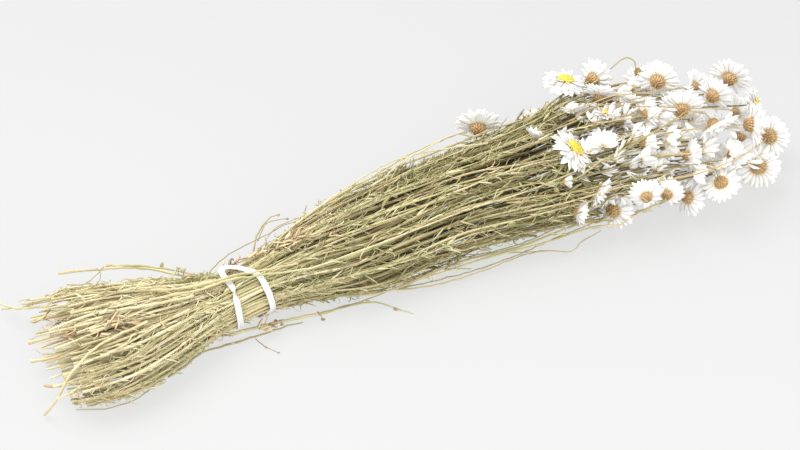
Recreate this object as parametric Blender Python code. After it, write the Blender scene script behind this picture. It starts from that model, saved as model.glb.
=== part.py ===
"""A bunch of dried paper daisies, cut, tied with an elastic band and laid on its side.

The bunch lies along X on the plane z = 0, heads at +X and cut stem ends at -X. Lengths are in
millimetres up to the mesh, which is in metres.
"""

import math
from random import Random

import bpy
import numpy as np
from mathutils import Matrix, Vector

MM = 0.001
GAP = 0.3

# The middle of the finished bunch's box, which becomes the origin
MIDDLE = (8.26, 12.99)

# Cross-sections of the bunch: place along X, middle in Y, half width, half height
SECTIONS = (
    (-252, 8, 44, 16),
    (-220, 4, 41, 18),
    (-202, -2, 43, 20),
    (-172, -2, 35, 19),
    (-139, 1, 24, 16.5),
    (-110, 1, 17.2, 16),
    (-91, 6, 21.5, 17.5),
    (-63, 9, 29, 20),
    (-37, 9, 36, 23),
    (0, 14, 39, 24.5),
    (36, 16, 39, 25.5),
    (70, 15, 41, 26.5),
    (99, 15, 44, 27.5),
    (143, 16, 53, 29.5),
    (177, 12, 53, 30.5),
    (207, 2, 48, 30),
    (262, -6, 34, 26),
)

# The tie: where it lies along X, how far the waist is lifted off the surface, and how much of
# the cross-section the stems fill there
TIE_X = -110
TIE_REACH = 22
TIE_LIFT = 2.6
TIE_FILL = 0.9

# Heads: x, y, z of the petals' root, radius over the petals, heading and tilt of the face in
# degrees, and lift of the petals above the face's plane in degrees
BLOOMS = (
    (140, 65, 52, 14.0, 39, 68, -22),
    (115, 2, 58, 14.6, -13, 53, -16),
    (139, 8, 43, 12.3, -122, -13, -22),
    (245, -4, 52, 11.2, -37, 21, -20),
    (147, 21, 59, 8.0, 58, 60, -8),
    (73, 58, 42, 13.7, 68, 16, 22),
    (165, 69, 39, 12.6, 17, -11, 24),
    (194, 59, 42, 8.6, -36, -51, 30),
    (181, 45, 44, 8.9, -2, -23, 35),
    (191, 33, 61, 12.6, 46, -8, 20),
    (194, 7, 59, 13.3, 60, 3, 18),
    (226, 37, 40, 8.8, 24, 12, 35),
    (223, 13, 54, 11.7, 26, -1, 22),
    (244, 27, 50, 12.8, 42, 6, 18),
    (259, -9, 21, 12.9, 25, -31, 14),
    (238, -29, 20, 13.5, 26, -52, 10),
    (215, -29, 42, 8.3, 8, 9, 42),
    (199, -44, 35, 11.7, -10, -64, 20),
    (183, -35, 19, 10.4, -3, -33, 25),
    (164, -36, 33, 9.5, 46, -8, 32),
    (146, -39, 42, 9.5, 68, -9, 32),
    (133, -26, 20, 12.1, 21, -22, 22),
    (171, -19, 29, 7.7, -4, -7, 42),
    (172, 12, 57, 8.3, -7, -3, 38),
    (161, -6, 52, 8.9, -6, -5, 36),
    (185, -23, 47, 8.9, -11, -13, 36),
    (192, -17, 29, 8.3, -18, -20, 38),
    (156, 23, 44, 8.3, -17, -7, 38),
    (100, 28, 49, 6.6, 34, 50, 50),
    (102, -12, 46, 5.1, -23, 0, 68),
    (208, -13, 55, 10.7, -78, -29, 26),
    (230, -24, 58, 13.1, -21, -2, 20),
    (237, -7, 31, 10.3, 33, 29, 30),
    (220, 6, 32, 9.8, 75, 20, 32),
    (178, -4, 40, 8.2, -26, -3, 40),
    (154, 43, 53, 9.8, 56, 34, 28),
    (135, 41, 46, 9.2, 82, 45, 30),
    (172, 29, 50, 8.5, 42, 37, 36),
    (121, -22, 38, 9.2, -43, -23, 30),
    (105, -26, 31, 7.3, -23, -15, 46),
    (206, -26, 20, 9.0, -26, -26, 32),
    (245, 12, 30, 9.8, 8, 9, 30),
    (196, 8, 34, 9.1, -3, 8, 34),
    (118, 58, 24, 11.1, 52, -4, 24),
    (145, 62, 17, 9.6, 38, -12, 30),
    (172, 63, 16, 11.3, 58, 4, 22),
    (201, 66, 24, 10.9, 44, -6, 24),
    (222, 34, 16, 11.6, 36, -10, 22),
    (182, 30, 13, 9.4, 22, -14, 32),
    (212, 6, 13, 9.6, 6, -16, 30),
)
OWN_DISC = (1, 2, 3, 4, 5, 13, 14, 32)
SETTLE_PASSES = 300
SETTLE_SHARE = 0.3

# One head: the radii from which it has eight and seven petals, and its sizes in shares of its
# radius
EIGHT_PETALS_FROM = 12.7
SEVEN_PETALS_FROM = 9.6
CUP_FLOOR = 0.52
CUP_FLOOR_WALL = 0.34
CUP_WIDTH = 0.37
CUP_RIM = 0.43
CUP_RIM_DROP = 0.08
LONGEST_PETAL = 0.76
INNER_PETAL = 0.42
PETAL_WAIST = 0.54
INNER_STEEPER = 20
OUTER_DRAW = (0.94, 1.0)
INNER_DRAW = (0.9, 1.05)
DISC_RADIUS = 0.38
DISC_CROWN = 0.22
DISC_HEIGHT = 0.15
PETAL_THICKNESS = 0.7
NECK_RADIUS = 1.2
NECK_SIDES = 4
CROWN_SIDES = 5

# Stems: the radius over their three corners, the height of their middle when they lie flat, the
# step between the places where they are kept apart, and the range of their cut ends
STEM_RADIUS = 1.1
LYING = STEM_RADIUS / 2
CORNERS = ((-0.866, -0.5), (0.866, -0.5), (0, 1))
STATION = 9.0
APART = 2.6
BUTTS = (-248, -206)
CLEAR = 2.2
SLACK = 1.0
TIE_STRICTER = 3.0
GOLDEN_ANGLE = math.radians(137.5)

# Stems that carry no head: their number, where they end, and how far out they lie
FILLERS = 10
FILLER_ENDS = (-30, 130)
FILLER_PLACES = (0.5, 0.95)

# A stem's course, in shares of the cross-section: the outermost place in the tie, the bow half
# way to the head, and the spread of the cut ends in Y and in Z
OUTERMOST = 0.97
BOW = 0.2
SPREAD_Y = 0.25
SPREAD_Z = 0.2

# Passes that draw the stems smooth and apart, and how much of each move a pass makes
COURSE_PASSES = 160
SMOOTHING = 0.35
HOMING = 0.05
PARTING = 0.3
HEAD_CLEARING = 0.8
BEND_PASSES = 80
BEND_SMOOTHING = 0.08

# A stem's last stretch, which curves in behind its head
HEADS_FROM = 50
AIM_BEHIND = 12.0
NECK_RUN = 3.0
TAIL_PULL = 0.4
TAIL_STEPS = 6

# Heads whose stems run low in front of the bunch, with the place they pass half way, in shares
# of the cross-section
LOW_RUNS = {19: (-1.3, -0.95), 22: (-1.2, -0.75), 40: (-1.0, -0.8)}

# Stray stems outside the bunch, and broken ones on the surface in front of it
STRAYS = (
    ((-251, 56, 12), (-214, 46, 15), (-168, 24, 22), (-139, 11, 25), (-112, 5, 24)),
    ((-212, 61, 20), (-190, 50, 26), (-164, 38, 28), (-136, 15, 29), (-114, 4, 26)),
)
BROKEN_STEM = ((-128, -11.6), (-70, -23), (-14, -40))
BROKEN_TWIG = ((-100, -15), (-124, -12.6), (-147, -16))
TWIG_FOOT = (-186, -14, 3)

# Core under the tie
CORE_FILL = 0.88
CORE_REACH = 12
CORE_SIDES = 14

# Leaves, with the width of each in shares from root to tip, and the angles in degrees at which
# they leave the stem and curl at each step
LEAVES = 26
LEAF_LENGTH = (11, 20)
LEAF_SPAN = (-80, 190)
LEAF_WIDTH = 0.9
LEAF_TAPER = (0.8, 1.0, 0.9, 0.5)
LEAF_THICKNESS = 0.46
LEAF_LEAN = (25, 60)
LEAF_CURL = (-26, 34)
LEAF_CLEAR = 2.0
LEAF_LOWEST = 1.0

# Elastic band
BAND_WIDTH = 3.4
BAND_THICKNESS = 1.1
BAND_STEPS = 26
BAND_SPREAD = 9.5
BAND_FROM = 64
BAND_TURN = 292
BAND_LOOP_RISE = 4.0
BAND_LOOP_SHARE = 0.06
BAND_HAIRPIN = 0.7


def section(x):
    """Middle in Y, middle height, half width and half height of the stems' mass at x."""
    columns = np.array(SECTIONS, float).T
    middle, width, height = (np.interp(x, columns[0], columns[k]) for k in (1, 2, 3))
    near_tie = np.exp(-(((x - TIE_X) / (2 * TIE_REACH)) ** 2))
    return middle, height + TIE_LIFT * near_tie, width, height


def facing(heading, tilt):
    heading, tilt = math.radians(heading), math.radians(tilt)
    flat = math.cos(tilt)
    return np.array((math.cos(heading) * flat, math.sin(heading) * flat, math.sin(tilt)))


def petal_length(radius, lift):
    """Length that takes a petal out to the head's radius, or as far as a steep one goes."""
    return radius * min((1 - CUP_RIM) / math.cos(math.radians(lift)), LONGEST_PETAL)


def span(radius, lift):
    """Furthest distance from the head's middle to a petal's tip."""
    length = petal_length(radius, lift)
    out = CUP_RIM * radius + length * math.cos(math.radians(lift))
    up = length * math.sin(math.radians(lift)) - CUP_RIM_DROP * radius
    return math.hypot(out, abs(up) + PETAL_THICKNESS)


def settle(places, spans, normals):
    """Heads pushed apart until no two touch, and up off the floor."""
    places = places.copy()
    reach = spans * np.sqrt(1 - normals[:, 2] ** 2)
    apart = spans[:, None] + spans[None, :] + GAP
    for _ in range(SETTLE_PASSES):
        offset = places[:, None, :] - places[None, :, :]
        distance = np.linalg.norm(offset, axis=2) + np.eye(len(places)) * 1e3
        overlap = np.clip(apart - distance, 0, None)
        move = offset / distance[:, :, None] * overlap[:, :, None]
        places += SETTLE_SHARE * move.sum(axis=1)
        places[:, 2] = np.maximum(places[:, 2], reach)
    return places


def ring(radius, height, count, turn):
    """Points of one level of a head, as angle and place; turn is a share of a step."""
    points = []
    for k in range(count):
        angle = math.tau * (k + turn) / count
        points.append((angle, (radius * math.cos(angle), radius * math.sin(angle), height)))
    return points


def star(root, lengths, lift, turn):
    """Outline of one layer of pointed petals, and the same raised by the petals' thickness."""
    low = []
    high = []
    count = len(lengths)
    for k in range(2 * count):
        angle = math.tau * (k / 2 + turn) / count
        along = lengths[k // 2] if k % 2 == 0 else PETAL_WAIST * lengths[0]
        for points, rise in ((low, 0.0), (high, PETAL_THICKNESS)):
            r = root[0] + along * math.cos(lift) - rise * math.sin(lift)
            z = root[1] + along * math.sin(lift) + rise * math.cos(lift)
            points.append((angle, (r * math.cos(angle), r * math.sin(angle), z)))
    return low, high


def zip_levels(levels):
    """A closed skin over levels of points, each joined to the next in order of angle."""
    points = [place for level in levels for _, place in level]
    faces = []
    first = 0
    for lower, upper in zip(levels, levels[1:]):
        second = first + len(lower)
        steps = []
        for side, level in enumerate((lower, upper)):
            angles = [angle for angle, _ in level]
            following = angles[1:] + [angles[0] + math.tau]
            steps += [((a + b) / 2, 1 - side) for a, b in zip(angles, following)]
        i = j = 0
        for _, on_lower in sorted(steps, key=lambda step: (round(step[0], 6), step[1])):
            a = first + i % len(lower)
            b = second + j % len(upper)
            if on_lower:
                i += 1
                faces.append((a, first + i % len(lower), b))
            else:
                j += 1
                faces.append((a, second + j % len(upper), b))
        first = second
    faces.append(tuple(reversed(range(len(levels[0])))))
    faces.append(tuple(range(first, first + len(levels[-1]))))
    return points, faces


def bloom_skins(radius, lift, disc_apart, draw):
    """One head about its own axis, +Z out of its face: cup, two layers of petals and disc."""
    petals = 6 + (radius > SEVEN_PETALS_FROM) + (radius > EIGHT_PETALS_FROM)
    length = petal_length(radius, lift)
    lift = math.radians(lift)
    root = (CUP_RIM * radius, -CUP_RIM_DROP * radius)
    lengths = [length * draw.uniform(*OUTER_DRAW) for _ in range(petals)]
    outer, outer_top = star(root, lengths, lift, 0)
    seat = (root[0], root[1] + PETAL_THICKNESS / math.cos(min(lift, 1.0)))
    length = INNER_PETAL * radius
    steeper = lift + math.radians(INNER_STEEPER)
    lengths = [length * draw.uniform(*INNER_DRAW) for _ in range(petals)]
    inner, inner_top = star(seat, lengths, steeper, 0.5)
    floor = seat[1] + PETAL_THICKNESS
    disc = DISC_RADIUS * radius
    crown = DISC_CROWN * radius
    top = floor + DISC_HEIGHT * radius
    skin = [
        ring(NECK_RADIUS, -CUP_FLOOR * radius, NECK_SIDES, 0.5),
        ring(CUP_WIDTH * radius, -CUP_FLOOR_WALL * radius, petals, 0.5),
        ring(*root, petals, 0.5),
        outer,
        outer_top,
        ring(*seat, petals, 0.5),
        inner,
        inner_top,
        ring(disc, floor, petals, 0),
    ]
    if not disc_apart:
        skin.append(ring(crown, top, CROWN_SIDES, 0.5))
        return zip_levels(skin), None
    dome = [
        ring(disc - GAP, floor + GAP, petals, 0),
        ring(disc - GAP, (floor + GAP + top) / 2, petals, 0.5),
        ring(crown, top + GAP, CROWN_SIDES, 0),
    ]
    return zip_levels(skin), zip_levels(dome)


def polar(share, angle):
    return share * np.array((math.cos(angle), math.sin(angle)))


def tie_slots(goals):
    """Evenly spread places in the tie, given out so that each stem stays on its own side."""
    count = len(goals)
    slots = []
    for k in range(count):
        slots.append(polar(OUTERMOST * math.sqrt((k + 0.5) / count), k * GOLDEN_ANGLE))
    slots.sort(key=lambda slot: math.atan2(slot[1], slot[0]))
    order = sorted(range(count), key=lambda k: math.atan2(goals[k][1], goals[k][0]))
    given = [None] * count
    for k, slot in zip(order, slots):
        given[k] = slot
    return given


def stem_courses(necks, normals):
    """Each stem's place at every station, as shares of the cross-section, and its two ends."""
    draw = Random(21)
    stations = np.arange(BUTTS[0] - STATION, SECTIONS[-1][0], STATION)
    goals = []
    stops = []
    for neck, normal in zip(necks, normals):
        end = neck - normal * AIM_BEHIND
        m, h, w, t = section(end[0])
        goals.append(np.array(((end[1] - m) / w, (end[2] - h) / t)))
        stops.append(end[0])
    for _ in range(FILLERS):
        goals.append(polar(draw.uniform(*FILLER_PLACES), draw.uniform(0, math.tau)))
        stops.append(draw.uniform(*FILLER_ENDS))
    courses = []
    for k, (slot, goal, stop) in enumerate(zip(tie_slots(goals), goals, stops)):
        bow = np.array((draw.uniform(-BOW, BOW), draw.uniform(-BOW, BOW)))
        half_way = np.array(LOW_RUNS.get(k + 1, (slot + goal) / 2 + bow))
        spread = (draw.uniform(-SPREAD_Y, SPREAD_Y), draw.uniform(-SPREAD_Z, SPREAD_Z))
        ahead = np.clip((stations - TIE_X) / (stop - TIE_X), 0, 1)[:, None]
        behind = np.clip((TIE_X - stations) / (TIE_X - BUTTS[0]), 0, 1)[:, None]
        course = slot * (1 - ahead) ** 2 + 2 * half_way * ahead * (1 - ahead) + goal * ahead**2
        courses.append(course + np.array(spread) * behind)
    starts = [draw.uniform(*BUTTS) for _ in stops]
    return stations, np.array(courses), np.stack((starts, stops), axis=1)


def stem_routes(necks, normals, places, spans):
    """A line of points for each stem, from its cut end through the tie to its head's neck.

    Stems keep their place in the bunch from one cross-section to the next. They are pushed off
    each other and off every head but their own, and drawn smooth.
    """
    stations, courses, ends = stem_courses(necks, normals)
    middle, high, width, height = section(stations)
    centre = np.stack((middle, high), axis=1)
    tied = np.clip((np.abs(stations - TIE_X) - TIE_REACH) / TIE_REACH, 0, 1)
    size = np.stack((width, height), axis=1) * (TIE_FILL + (1 - TIE_FILL) * tied)[:, None]
    wish = centre + courses * size
    line = wish.copy()
    count = len(line)
    live = (stations >= ends[:, :1] - STATION) & (stations <= ends[:, 1:] + STATION)
    both = live[:, None] & live[None, :] & ~np.eye(count, dtype=bool)[:, :, None]
    own = np.eye(count, len(necks), dtype=bool)[:, None, :]
    kept_clear = (spans + CLEAR) ** 2 - (stations[:, None] - places[:, 0]) ** 2
    kept_clear = np.sqrt(np.clip(kept_clear, 0, None))
    limit = np.ones((count, 1, 1))
    limit[[number - 1 for number in LOW_RUNS]] = 2
    limit = np.where(tied[None, :, None] > 0, limit, OUTERMOST)
    for _ in range(COURSE_PASSES):
        line[:, 1:-1] += SMOOTHING * ((line[:, :-2] + line[:, 2:]) / 2 - line[:, 1:-1])
        line += HOMING * (wish - line)
        offset = line[:, None] - line[None, :]
        distance = np.linalg.norm(offset, axis=3, keepdims=True) + 1e-6
        push = np.clip(APART - distance, 0, None) * both[..., None]
        line += PARTING * (offset / distance * push).sum(axis=1)
        for _ in range(2):
            offset = line[:, :, None, :] - places[:, 1:]
            distance = np.linalg.norm(offset, axis=3) + 1e-6
            push = np.where(own, 0, np.clip(kept_clear - distance, 0, None))
            line += HEAD_CLEARING * (offset * (push / distance)[..., None]).sum(axis=2)
        reach = np.linalg.norm((line - centre) / size, axis=2, keepdims=True)
        line = np.where(reach > limit, centre + (line - centre) * limit / reach, line)
        line[..., 1] = np.maximum(line[..., 1], LYING)
    routes = []
    for k in range(count):
        kept = (stations > ends[k, 0]) & (stations < ends[k, 1])
        route = [np.array((x, *p)) for x, p in zip(stations[kept], line[k][kept])]
        if k < len(necks):
            others = np.arange(len(places)) != k
            route = route[:-1] + tail(route[-2], route[-1], necks[k], normals[k])
            route = bend_clear(route, places[others], spans[others])
        route = thin_out(route, SLACK)
        if k < len(necks):
            route.append(necks[k] - normals[k] * GAP)
        routes.append(route)
    return routes


def bend_clear(route, places, spans):
    """The same line, bent round the heads that are not its own."""
    start = sum(point[0] < HEADS_FROM for point in route)
    line = np.array(route[start:])
    for _ in range(BEND_PASSES):
        offset = line[1:-2, None] - places
        distance = np.linalg.norm(offset, axis=2)
        push = np.clip(spans + CLEAR - distance, 0, None)
        line[1:-2] += (offset * (push / distance)[..., None]).sum(axis=1)
        line[1:-2] += BEND_SMOOTHING * ((line[:-3] + line[2:-1]) / 2 - line[1:-2])
        line[:, 2] = np.maximum(line[:, 2], LYING)
    return route[:start] + list(line)


def tail(before, start, neck, normal):
    """The last stretch of a flower stem, curving in from behind to just short of its neck."""
    stop = neck - normal * NECK_RUN
    along = (start - before) / np.linalg.norm(start - before)
    pull = np.linalg.norm(stop - start) * TAIL_PULL
    handles = (start, start + along * pull, stop - normal * pull, stop)
    points = []
    for step in range(TAIL_STEPS + 1):
        s = step / TAIL_STEPS
        weights = ((1 - s) ** 3, 3 * s * (1 - s) ** 2, 3 * s * s * (1 - s), s**3)
        points.append(sum(weight * handle for weight, handle in zip(weights, handles)))
    return points


def thin_out(points, slack):
    """The fewest of these points that keep the line within slack."""
    if len(points) < 3:
        return points
    start, end = points[0], points[-1]
    run = (end - start) / np.linalg.norm(end - start)
    off = [np.linalg.norm(np.cross(p - start, run)) for p in points]
    for k, point in enumerate(points):
        if abs(point[0] - TIE_X) < TIE_REACH * 1.5:
            off[k] *= TIE_STRICTER
    worst = int(np.argmax(off))
    if off[worst] < slack:
        return [start, end]
    return thin_out(points[: worst + 1], slack)[:-1] + thin_out(points[worst:], slack)


def bar(route, widths, heights):
    """A three-sided bar along a line, its lower side level."""
    points = []
    side = np.array((0.0, 1.0, 0.0))
    for k, place in enumerate(route):
        into = place - route[k - 1] if k else route[1] - place
        out = route[k + 1] - place if k < len(route) - 1 else into
        into = into / np.linalg.norm(into)
        out = out / np.linalg.norm(out)
        along = (into + out) / np.linalg.norm(into + out)
        level = np.array((-along[1], along[0], 0.0))
        if np.linalg.norm(level) > 0.25:
            side = level / np.linalg.norm(level)
        across = side - along * (side @ along)
        across = across / np.linalg.norm(across)
        over = np.cross(along, across)
        bend = out - into
        sharpness = np.linalg.norm(bend)
        stretch = min(0.6, 1 / max(0.3, along @ into) - 1)
        for a, b in CORNERS:
            corner = across * a * widths[k] + over * b * heights[k]
            if sharpness > 1e-6:
                corner = corner + bend * (corner @ bend) / sharpness**2 * stretch
            points.append(place + corner)
    faces = [(2, 1, 0)]
    for k in range(len(route) - 1):
        faces += side_faces(3, 3 * k, 3 * k + 3)
    last = 3 * (len(route) - 1)
    faces.append((last, last + 1, last + 2))
    return points, faces


def side_faces(sides, near, far):
    """Triangles round one length of a bar, from its corners near to its corners far."""
    faces = []
    for a in range(sides):
        b = (a + 1) % sides
        faces.append((near + a, near + b, far + b))
        faces.append((near + a, far + b, far + a))
    return faces


def stem_bar(route):
    return bar(route, [STEM_RADIUS] * len(route), [STEM_RADIUS] * len(route))


def broken_stems(routes):
    """Stray stems, the broken stem on the surface and the twig that holds it to the bunch."""
    bars = [stem_bar([np.array(p, float) for p in stray]) for stray in STRAYS]
    stem = [np.array((x, y, LYING)) for x, y in BROKEN_STEM]
    twig = [np.array((x, y, LYING)) for x, y in BROKEN_TWIG]
    bends = [p for route in routes for p in route[1:-1]]
    twig.append(min(bends, key=lambda p: np.linalg.norm(p - np.array(TWIG_FOOT))))
    return bars + [stem_bar(stem), stem_bar(twig)]


def tie_core():
    """The slim solid under the tie, which the stems stand out of."""
    levels = []
    for x in (TIE_X - CORE_REACH, TIE_X, TIE_X + CORE_REACH):
        m, h, w, t = section(x)
        level = []
        for k in range(CORE_SIDES):
            angle = math.tau * k / CORE_SIDES
            out, up = polar(CORE_FILL, angle)
            level.append((angle, (x, m + w * out, h + t * up)))
        levels.append(level)
    return zip_levels(levels)


def leaf_bars(routes, places, spans):
    """Short curled leaves on the stems, none where the band lies or a head is in the way."""
    draw = Random(8)
    bars = []
    while len(bars) < LEAVES:
        route = draw.choice(routes)
        k = draw.randrange(len(route) - 2)
        root = route[k] + (route[k + 1] - route[k]) * draw.random()
        along = route[k + 1] - route[k]
        along = along / np.linalg.norm(along)
        angle = draw.uniform(0, math.tau)
        away = np.cross(along, (0, math.cos(angle), math.sin(angle)))
        away = away / np.linalg.norm(away)
        curl = math.radians(draw.uniform(*LEAF_CURL))
        lean = math.radians(draw.uniform(*LEAF_LEAN))
        step = draw.uniform(*LEAF_LENGTH) / (len(LEAF_TAPER) - 1)
        points = [root]
        for _ in LEAF_TAPER[1:]:
            points.append(points[-1] + step * (along * math.cos(lean) + away * math.sin(lean)))
            lean += curl
        clear = np.linalg.norm(np.array(points)[:, None] - places, axis=2) - spans
        if not LEAF_SPAN[0] < root[0] < LEAF_SPAN[1] or clear.min() < LEAF_CLEAR:
            continue
        if min(point[2] for point in points) < LEAF_LOWEST:
            continue
        widths = [LEAF_WIDTH * share for share in LEAF_TAPER]
        bars.append(bar(points, widths, [LEAF_THICKNESS] * len(widths)))
    return bars


def band_skin():
    """The elastic band: one closed strip, laid double and wound once round the stems."""
    steps = 2 * BAND_STEPS
    centres = []
    outward = []
    for k in range(steps):
        turn = math.tau * k / steps
        run = 0.5 - 0.5 * math.cos(turn)
        angle = math.radians(BAND_FROM + BAND_TURN * run)
        apart = math.copysign(abs(math.sin(turn)) ** BAND_HAIRPIN, math.sin(turn))
        x = TIE_X - BAND_SPREAD * apart
        m, h, w, t = section(x - math.copysign(BAND_WIDTH / 2, apart))
        rise = BAND_LOOP_RISE * math.exp(-((run / BAND_LOOP_SHARE) ** 2))
        off = STEM_RADIUS + GAP + BAND_THICKNESS / 2 + rise
        w = w * TIE_FILL + off
        t = t * TIE_FILL + off
        centres.append(np.array((x, m + w * math.cos(angle), h + t * math.sin(angle))))
        normal = np.array((0.0, math.cos(angle) / w, math.sin(angle) / t))
        outward.append(normal / np.linalg.norm(normal))
    points = []
    faces = []
    for k in range(steps):
        along = centres[(k + 1) % steps] - centres[k - 1]
        along = along / np.linalg.norm(along)
        out = outward[k] - along * (outward[k] @ along)
        out = out / np.linalg.norm(out)
        across = np.cross(out, along)
        for a, b in ((-1, -1), (1, -1), (1, 1), (-1, 1)):
            points.append(centres[k] + across * a * BAND_WIDTH / 2 + out * b * BAND_THICKNESS / 2)
        faces += side_faces(4, 4 * k, 4 * ((k + 1) % steps))
    return points, faces


def material(name, colour, roughness):
    made = bpy.data.materials.new(name)
    made.use_nodes = True
    shader = made.node_tree.nodes["Principled BSDF"]
    shader.inputs["Base Color"].default_value = (*colour, 1)
    shader.inputs["Roughness"].default_value = roughness
    shader.inputs["Metallic"].default_value = 0
    made.diffuse_color = (*colour, 1)
    return made


def add_object(name, skin, finish, collection=None):
    """A mesh object from points in millimetres, moved so that the bunch's middle is the origin."""
    points, faces = skin
    mesh = bpy.data.meshes.new(name)
    moved = [((x - MIDDLE[0]) * MM, (y - MIDDLE[1]) * MM, z * MM) for x, y, z in points]
    mesh.from_pydata(moved, [], faces)
    mesh.materials.append(finish)
    made = bpy.data.objects.new(name, mesh)
    (collection or bpy.context.scene.collection).objects.link(made)
    return made


def fuse(name, skins, finish):
    """One body from many closed skins."""
    pieces = bpy.data.collections.new(name + "_pieces")
    bpy.context.scene.collection.children.link(pieces)
    made = add_object(name, skins[0], finish)
    for k, skin in enumerate(skins[1:]):
        add_object(f"{name}_{k}", skin, finish, pieces)
    union = made.modifiers.new("union", "BOOLEAN")
    union.operation = "UNION"
    union.operand_type = "COLLECTION"
    union.collection = pieces
    union.solver = "MANIFOLD"
    bpy.context.view_layer.update()
    evaluated = made.evaluated_get(bpy.context.evaluated_depsgraph_get())
    solid = bpy.data.meshes.new_from_object(evaluated)
    made.modifiers.clear()
    made.data = solid
    for piece in list(pieces.objects):
        bpy.data.objects.remove(piece, do_unlink=True)
    bpy.data.collections.remove(pieces)


for old in list(bpy.data.objects):
    bpy.data.objects.remove(old, do_unlink=True)

paper_white = material("paper_white", (0.86, 0.85, 0.80), 0.6)
disc_yellow = material("disc_yellow", (0.86, 0.66, 0.10), 0.8)
stem_straw = material("stem_straw", (0.42, 0.38, 0.20), 0.8)
band_white = material("band_white", (0.88, 0.88, 0.87), 0.7)

radii = np.array([row[3] for row in BLOOMS])
spans = np.array([span(row[3], row[6]) for row in BLOOMS])
normals = np.array([facing(row[4], row[5]) for row in BLOOMS])
places = settle(np.array([row[:3] for row in BLOOMS], float), spans, normals)
necks = places - normals * CUP_FLOOR * radii[:, None]

# Heads, each with its cup at its stem, and the discs that are pieces of their own
for k, row in enumerate(BLOOMS):
    draw = Random(101 + k)
    bloom, disc = bloom_skins(row[3], row[6], k + 1 in OWN_DISC, draw)
    turn = Vector(normals[k]).to_track_quat("Z", "Y").to_matrix()
    turn = turn @ Matrix.Rotation(draw.uniform(0, math.tau), 3, "Z")
    for name, skin, finish in (("bloom", bloom, paper_white), ("disc", disc, disc_yellow)):
        if skin:
            placed = [places[k] + np.array(turn @ Vector(p)) for p in skin[0]]
            add_object(f"{name}_{k + 1:02d}", (placed, skin[1]), finish)

# Stems with their leaves, and the strays
routes = stem_routes(necks, normals, places, spans)
stems = [tie_core()] + [stem_bar(route) for route in routes]
fuse("stems", stems + broken_stems(routes) + leaf_bars(routes, places, spans), stem_straw)

# Elastic band
add_object("band", band_skin(), band_white)
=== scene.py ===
"""The looks of a bunch of dried paper daisies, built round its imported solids.

Lengths are in millimetres, except in a finished mesh and for the floor, the lamps and the camera,
which are in metres.
"""

import math
from collections import namedtuple
from random import Random

import bpy
import numpy as np
from mathutils import Matrix, Vector


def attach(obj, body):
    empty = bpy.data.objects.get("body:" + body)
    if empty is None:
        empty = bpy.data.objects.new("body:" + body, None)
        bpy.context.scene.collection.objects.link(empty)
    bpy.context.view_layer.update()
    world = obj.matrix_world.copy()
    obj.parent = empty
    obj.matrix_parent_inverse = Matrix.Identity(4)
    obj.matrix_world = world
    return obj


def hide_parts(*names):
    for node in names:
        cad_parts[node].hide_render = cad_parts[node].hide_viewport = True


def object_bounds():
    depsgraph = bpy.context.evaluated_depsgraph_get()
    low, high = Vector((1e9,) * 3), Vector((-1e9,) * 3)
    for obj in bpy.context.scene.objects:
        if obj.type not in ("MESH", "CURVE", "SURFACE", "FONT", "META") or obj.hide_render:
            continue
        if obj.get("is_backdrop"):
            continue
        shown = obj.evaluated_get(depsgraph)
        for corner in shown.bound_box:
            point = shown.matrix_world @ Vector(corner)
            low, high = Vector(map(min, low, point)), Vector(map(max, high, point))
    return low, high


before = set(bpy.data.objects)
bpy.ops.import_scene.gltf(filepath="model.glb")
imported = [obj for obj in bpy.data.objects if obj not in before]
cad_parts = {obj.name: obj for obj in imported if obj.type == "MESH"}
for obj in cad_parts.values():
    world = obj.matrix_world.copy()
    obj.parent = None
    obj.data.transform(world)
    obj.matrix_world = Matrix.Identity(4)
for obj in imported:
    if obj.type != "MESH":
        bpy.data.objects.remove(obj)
solid_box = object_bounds()
bpy.ops.object.select_all(action="DESELECT")


# Stems. Some three hundred dry flower stems, straw to olive green, laid side by side and
# drawn together at the waist. Each is a curve with a round bevel, hollow at its cut end, that runs
# through the tie to its head or to a bare tip.
MM = 0.001
SECTIONS = (  # place along X, middle in Y, half width, half height
    (-260, -5, 44, 16),
    (-228, -9, 41, 18),
    (-210, -15, 43, 20),
    (-180, -15, 35, 19),
    (-147, -12, 24, 16.5),
    (-118, -12, 17.2, 16),
    (-99, -7, 21.5, 17.5),
    (-71, -4, 29, 20),
    (-45, -4, 36, 23),
    (-8, 1, 39, 24.5),
    (28, 3, 39, 25.5),
    (62, 2, 41, 26.5),
    (91, 2, 44, 27.5),
    (135, 3, 53, 29.5),
    (169, -1, 53, 30.5),
    (199, -11, 48, 30),
    (254, -19, 34, 26),
)
TIE_X = -118
TIE_REACH = 22
TIE_LIFT = 2.6
TIE_FILL = 0.9
STEMS = 322
STATION = 7.5
STEM_RADIUS = 0.85
STEM_SIDES = 6
CUT_HOLLOW = 2.5
CUT_WALL = 0.3
ROUND_TO = math.radians(50)
MARKS_ACROSS = 10
MARKS_ALONG = 100
MARKS_ROWS = 7
STEM_THICKNESSES = (0.68, 1.22)
STEM_JOINTS = (1, 1, 1, 1, 1.12, 1.3)
SKIN_SHADE = (0.66, 0.3)  # how far out the light begins to reach, and over what share
STEM_TINTS = (0.28, 0.98)
PALEST = 1.1
LOWEST = 0.8
BUTTS = (-252, -202)
USUAL_BUTT = -228
BARE_ENDS = (110, 200)
BARE_PLACES = (0.26, 1.0)  # squares of how far out they end
BROKEN_STEMS = 0.42
BROKEN_ENDS = (0, 214)
OUTERMOST = 0.97
SLOT_JITTER = 0.07
CROSSING = 0.42
BOW = 0.34
SPREAD_Y = 0.75
SPREAD_Z = 0.6
BEHIND_HEAD = 10
NECK_PULL = 0.4
NECK_STEPS = 8
LONG_WAVE = (70, 150, 1.7)  # shortest, longest, and how far it sways
SHORT_WAVE = (20, 46, 0.55)
CLEAR_SHARE = 0.55
CLEARING_PASSES = 24
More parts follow.
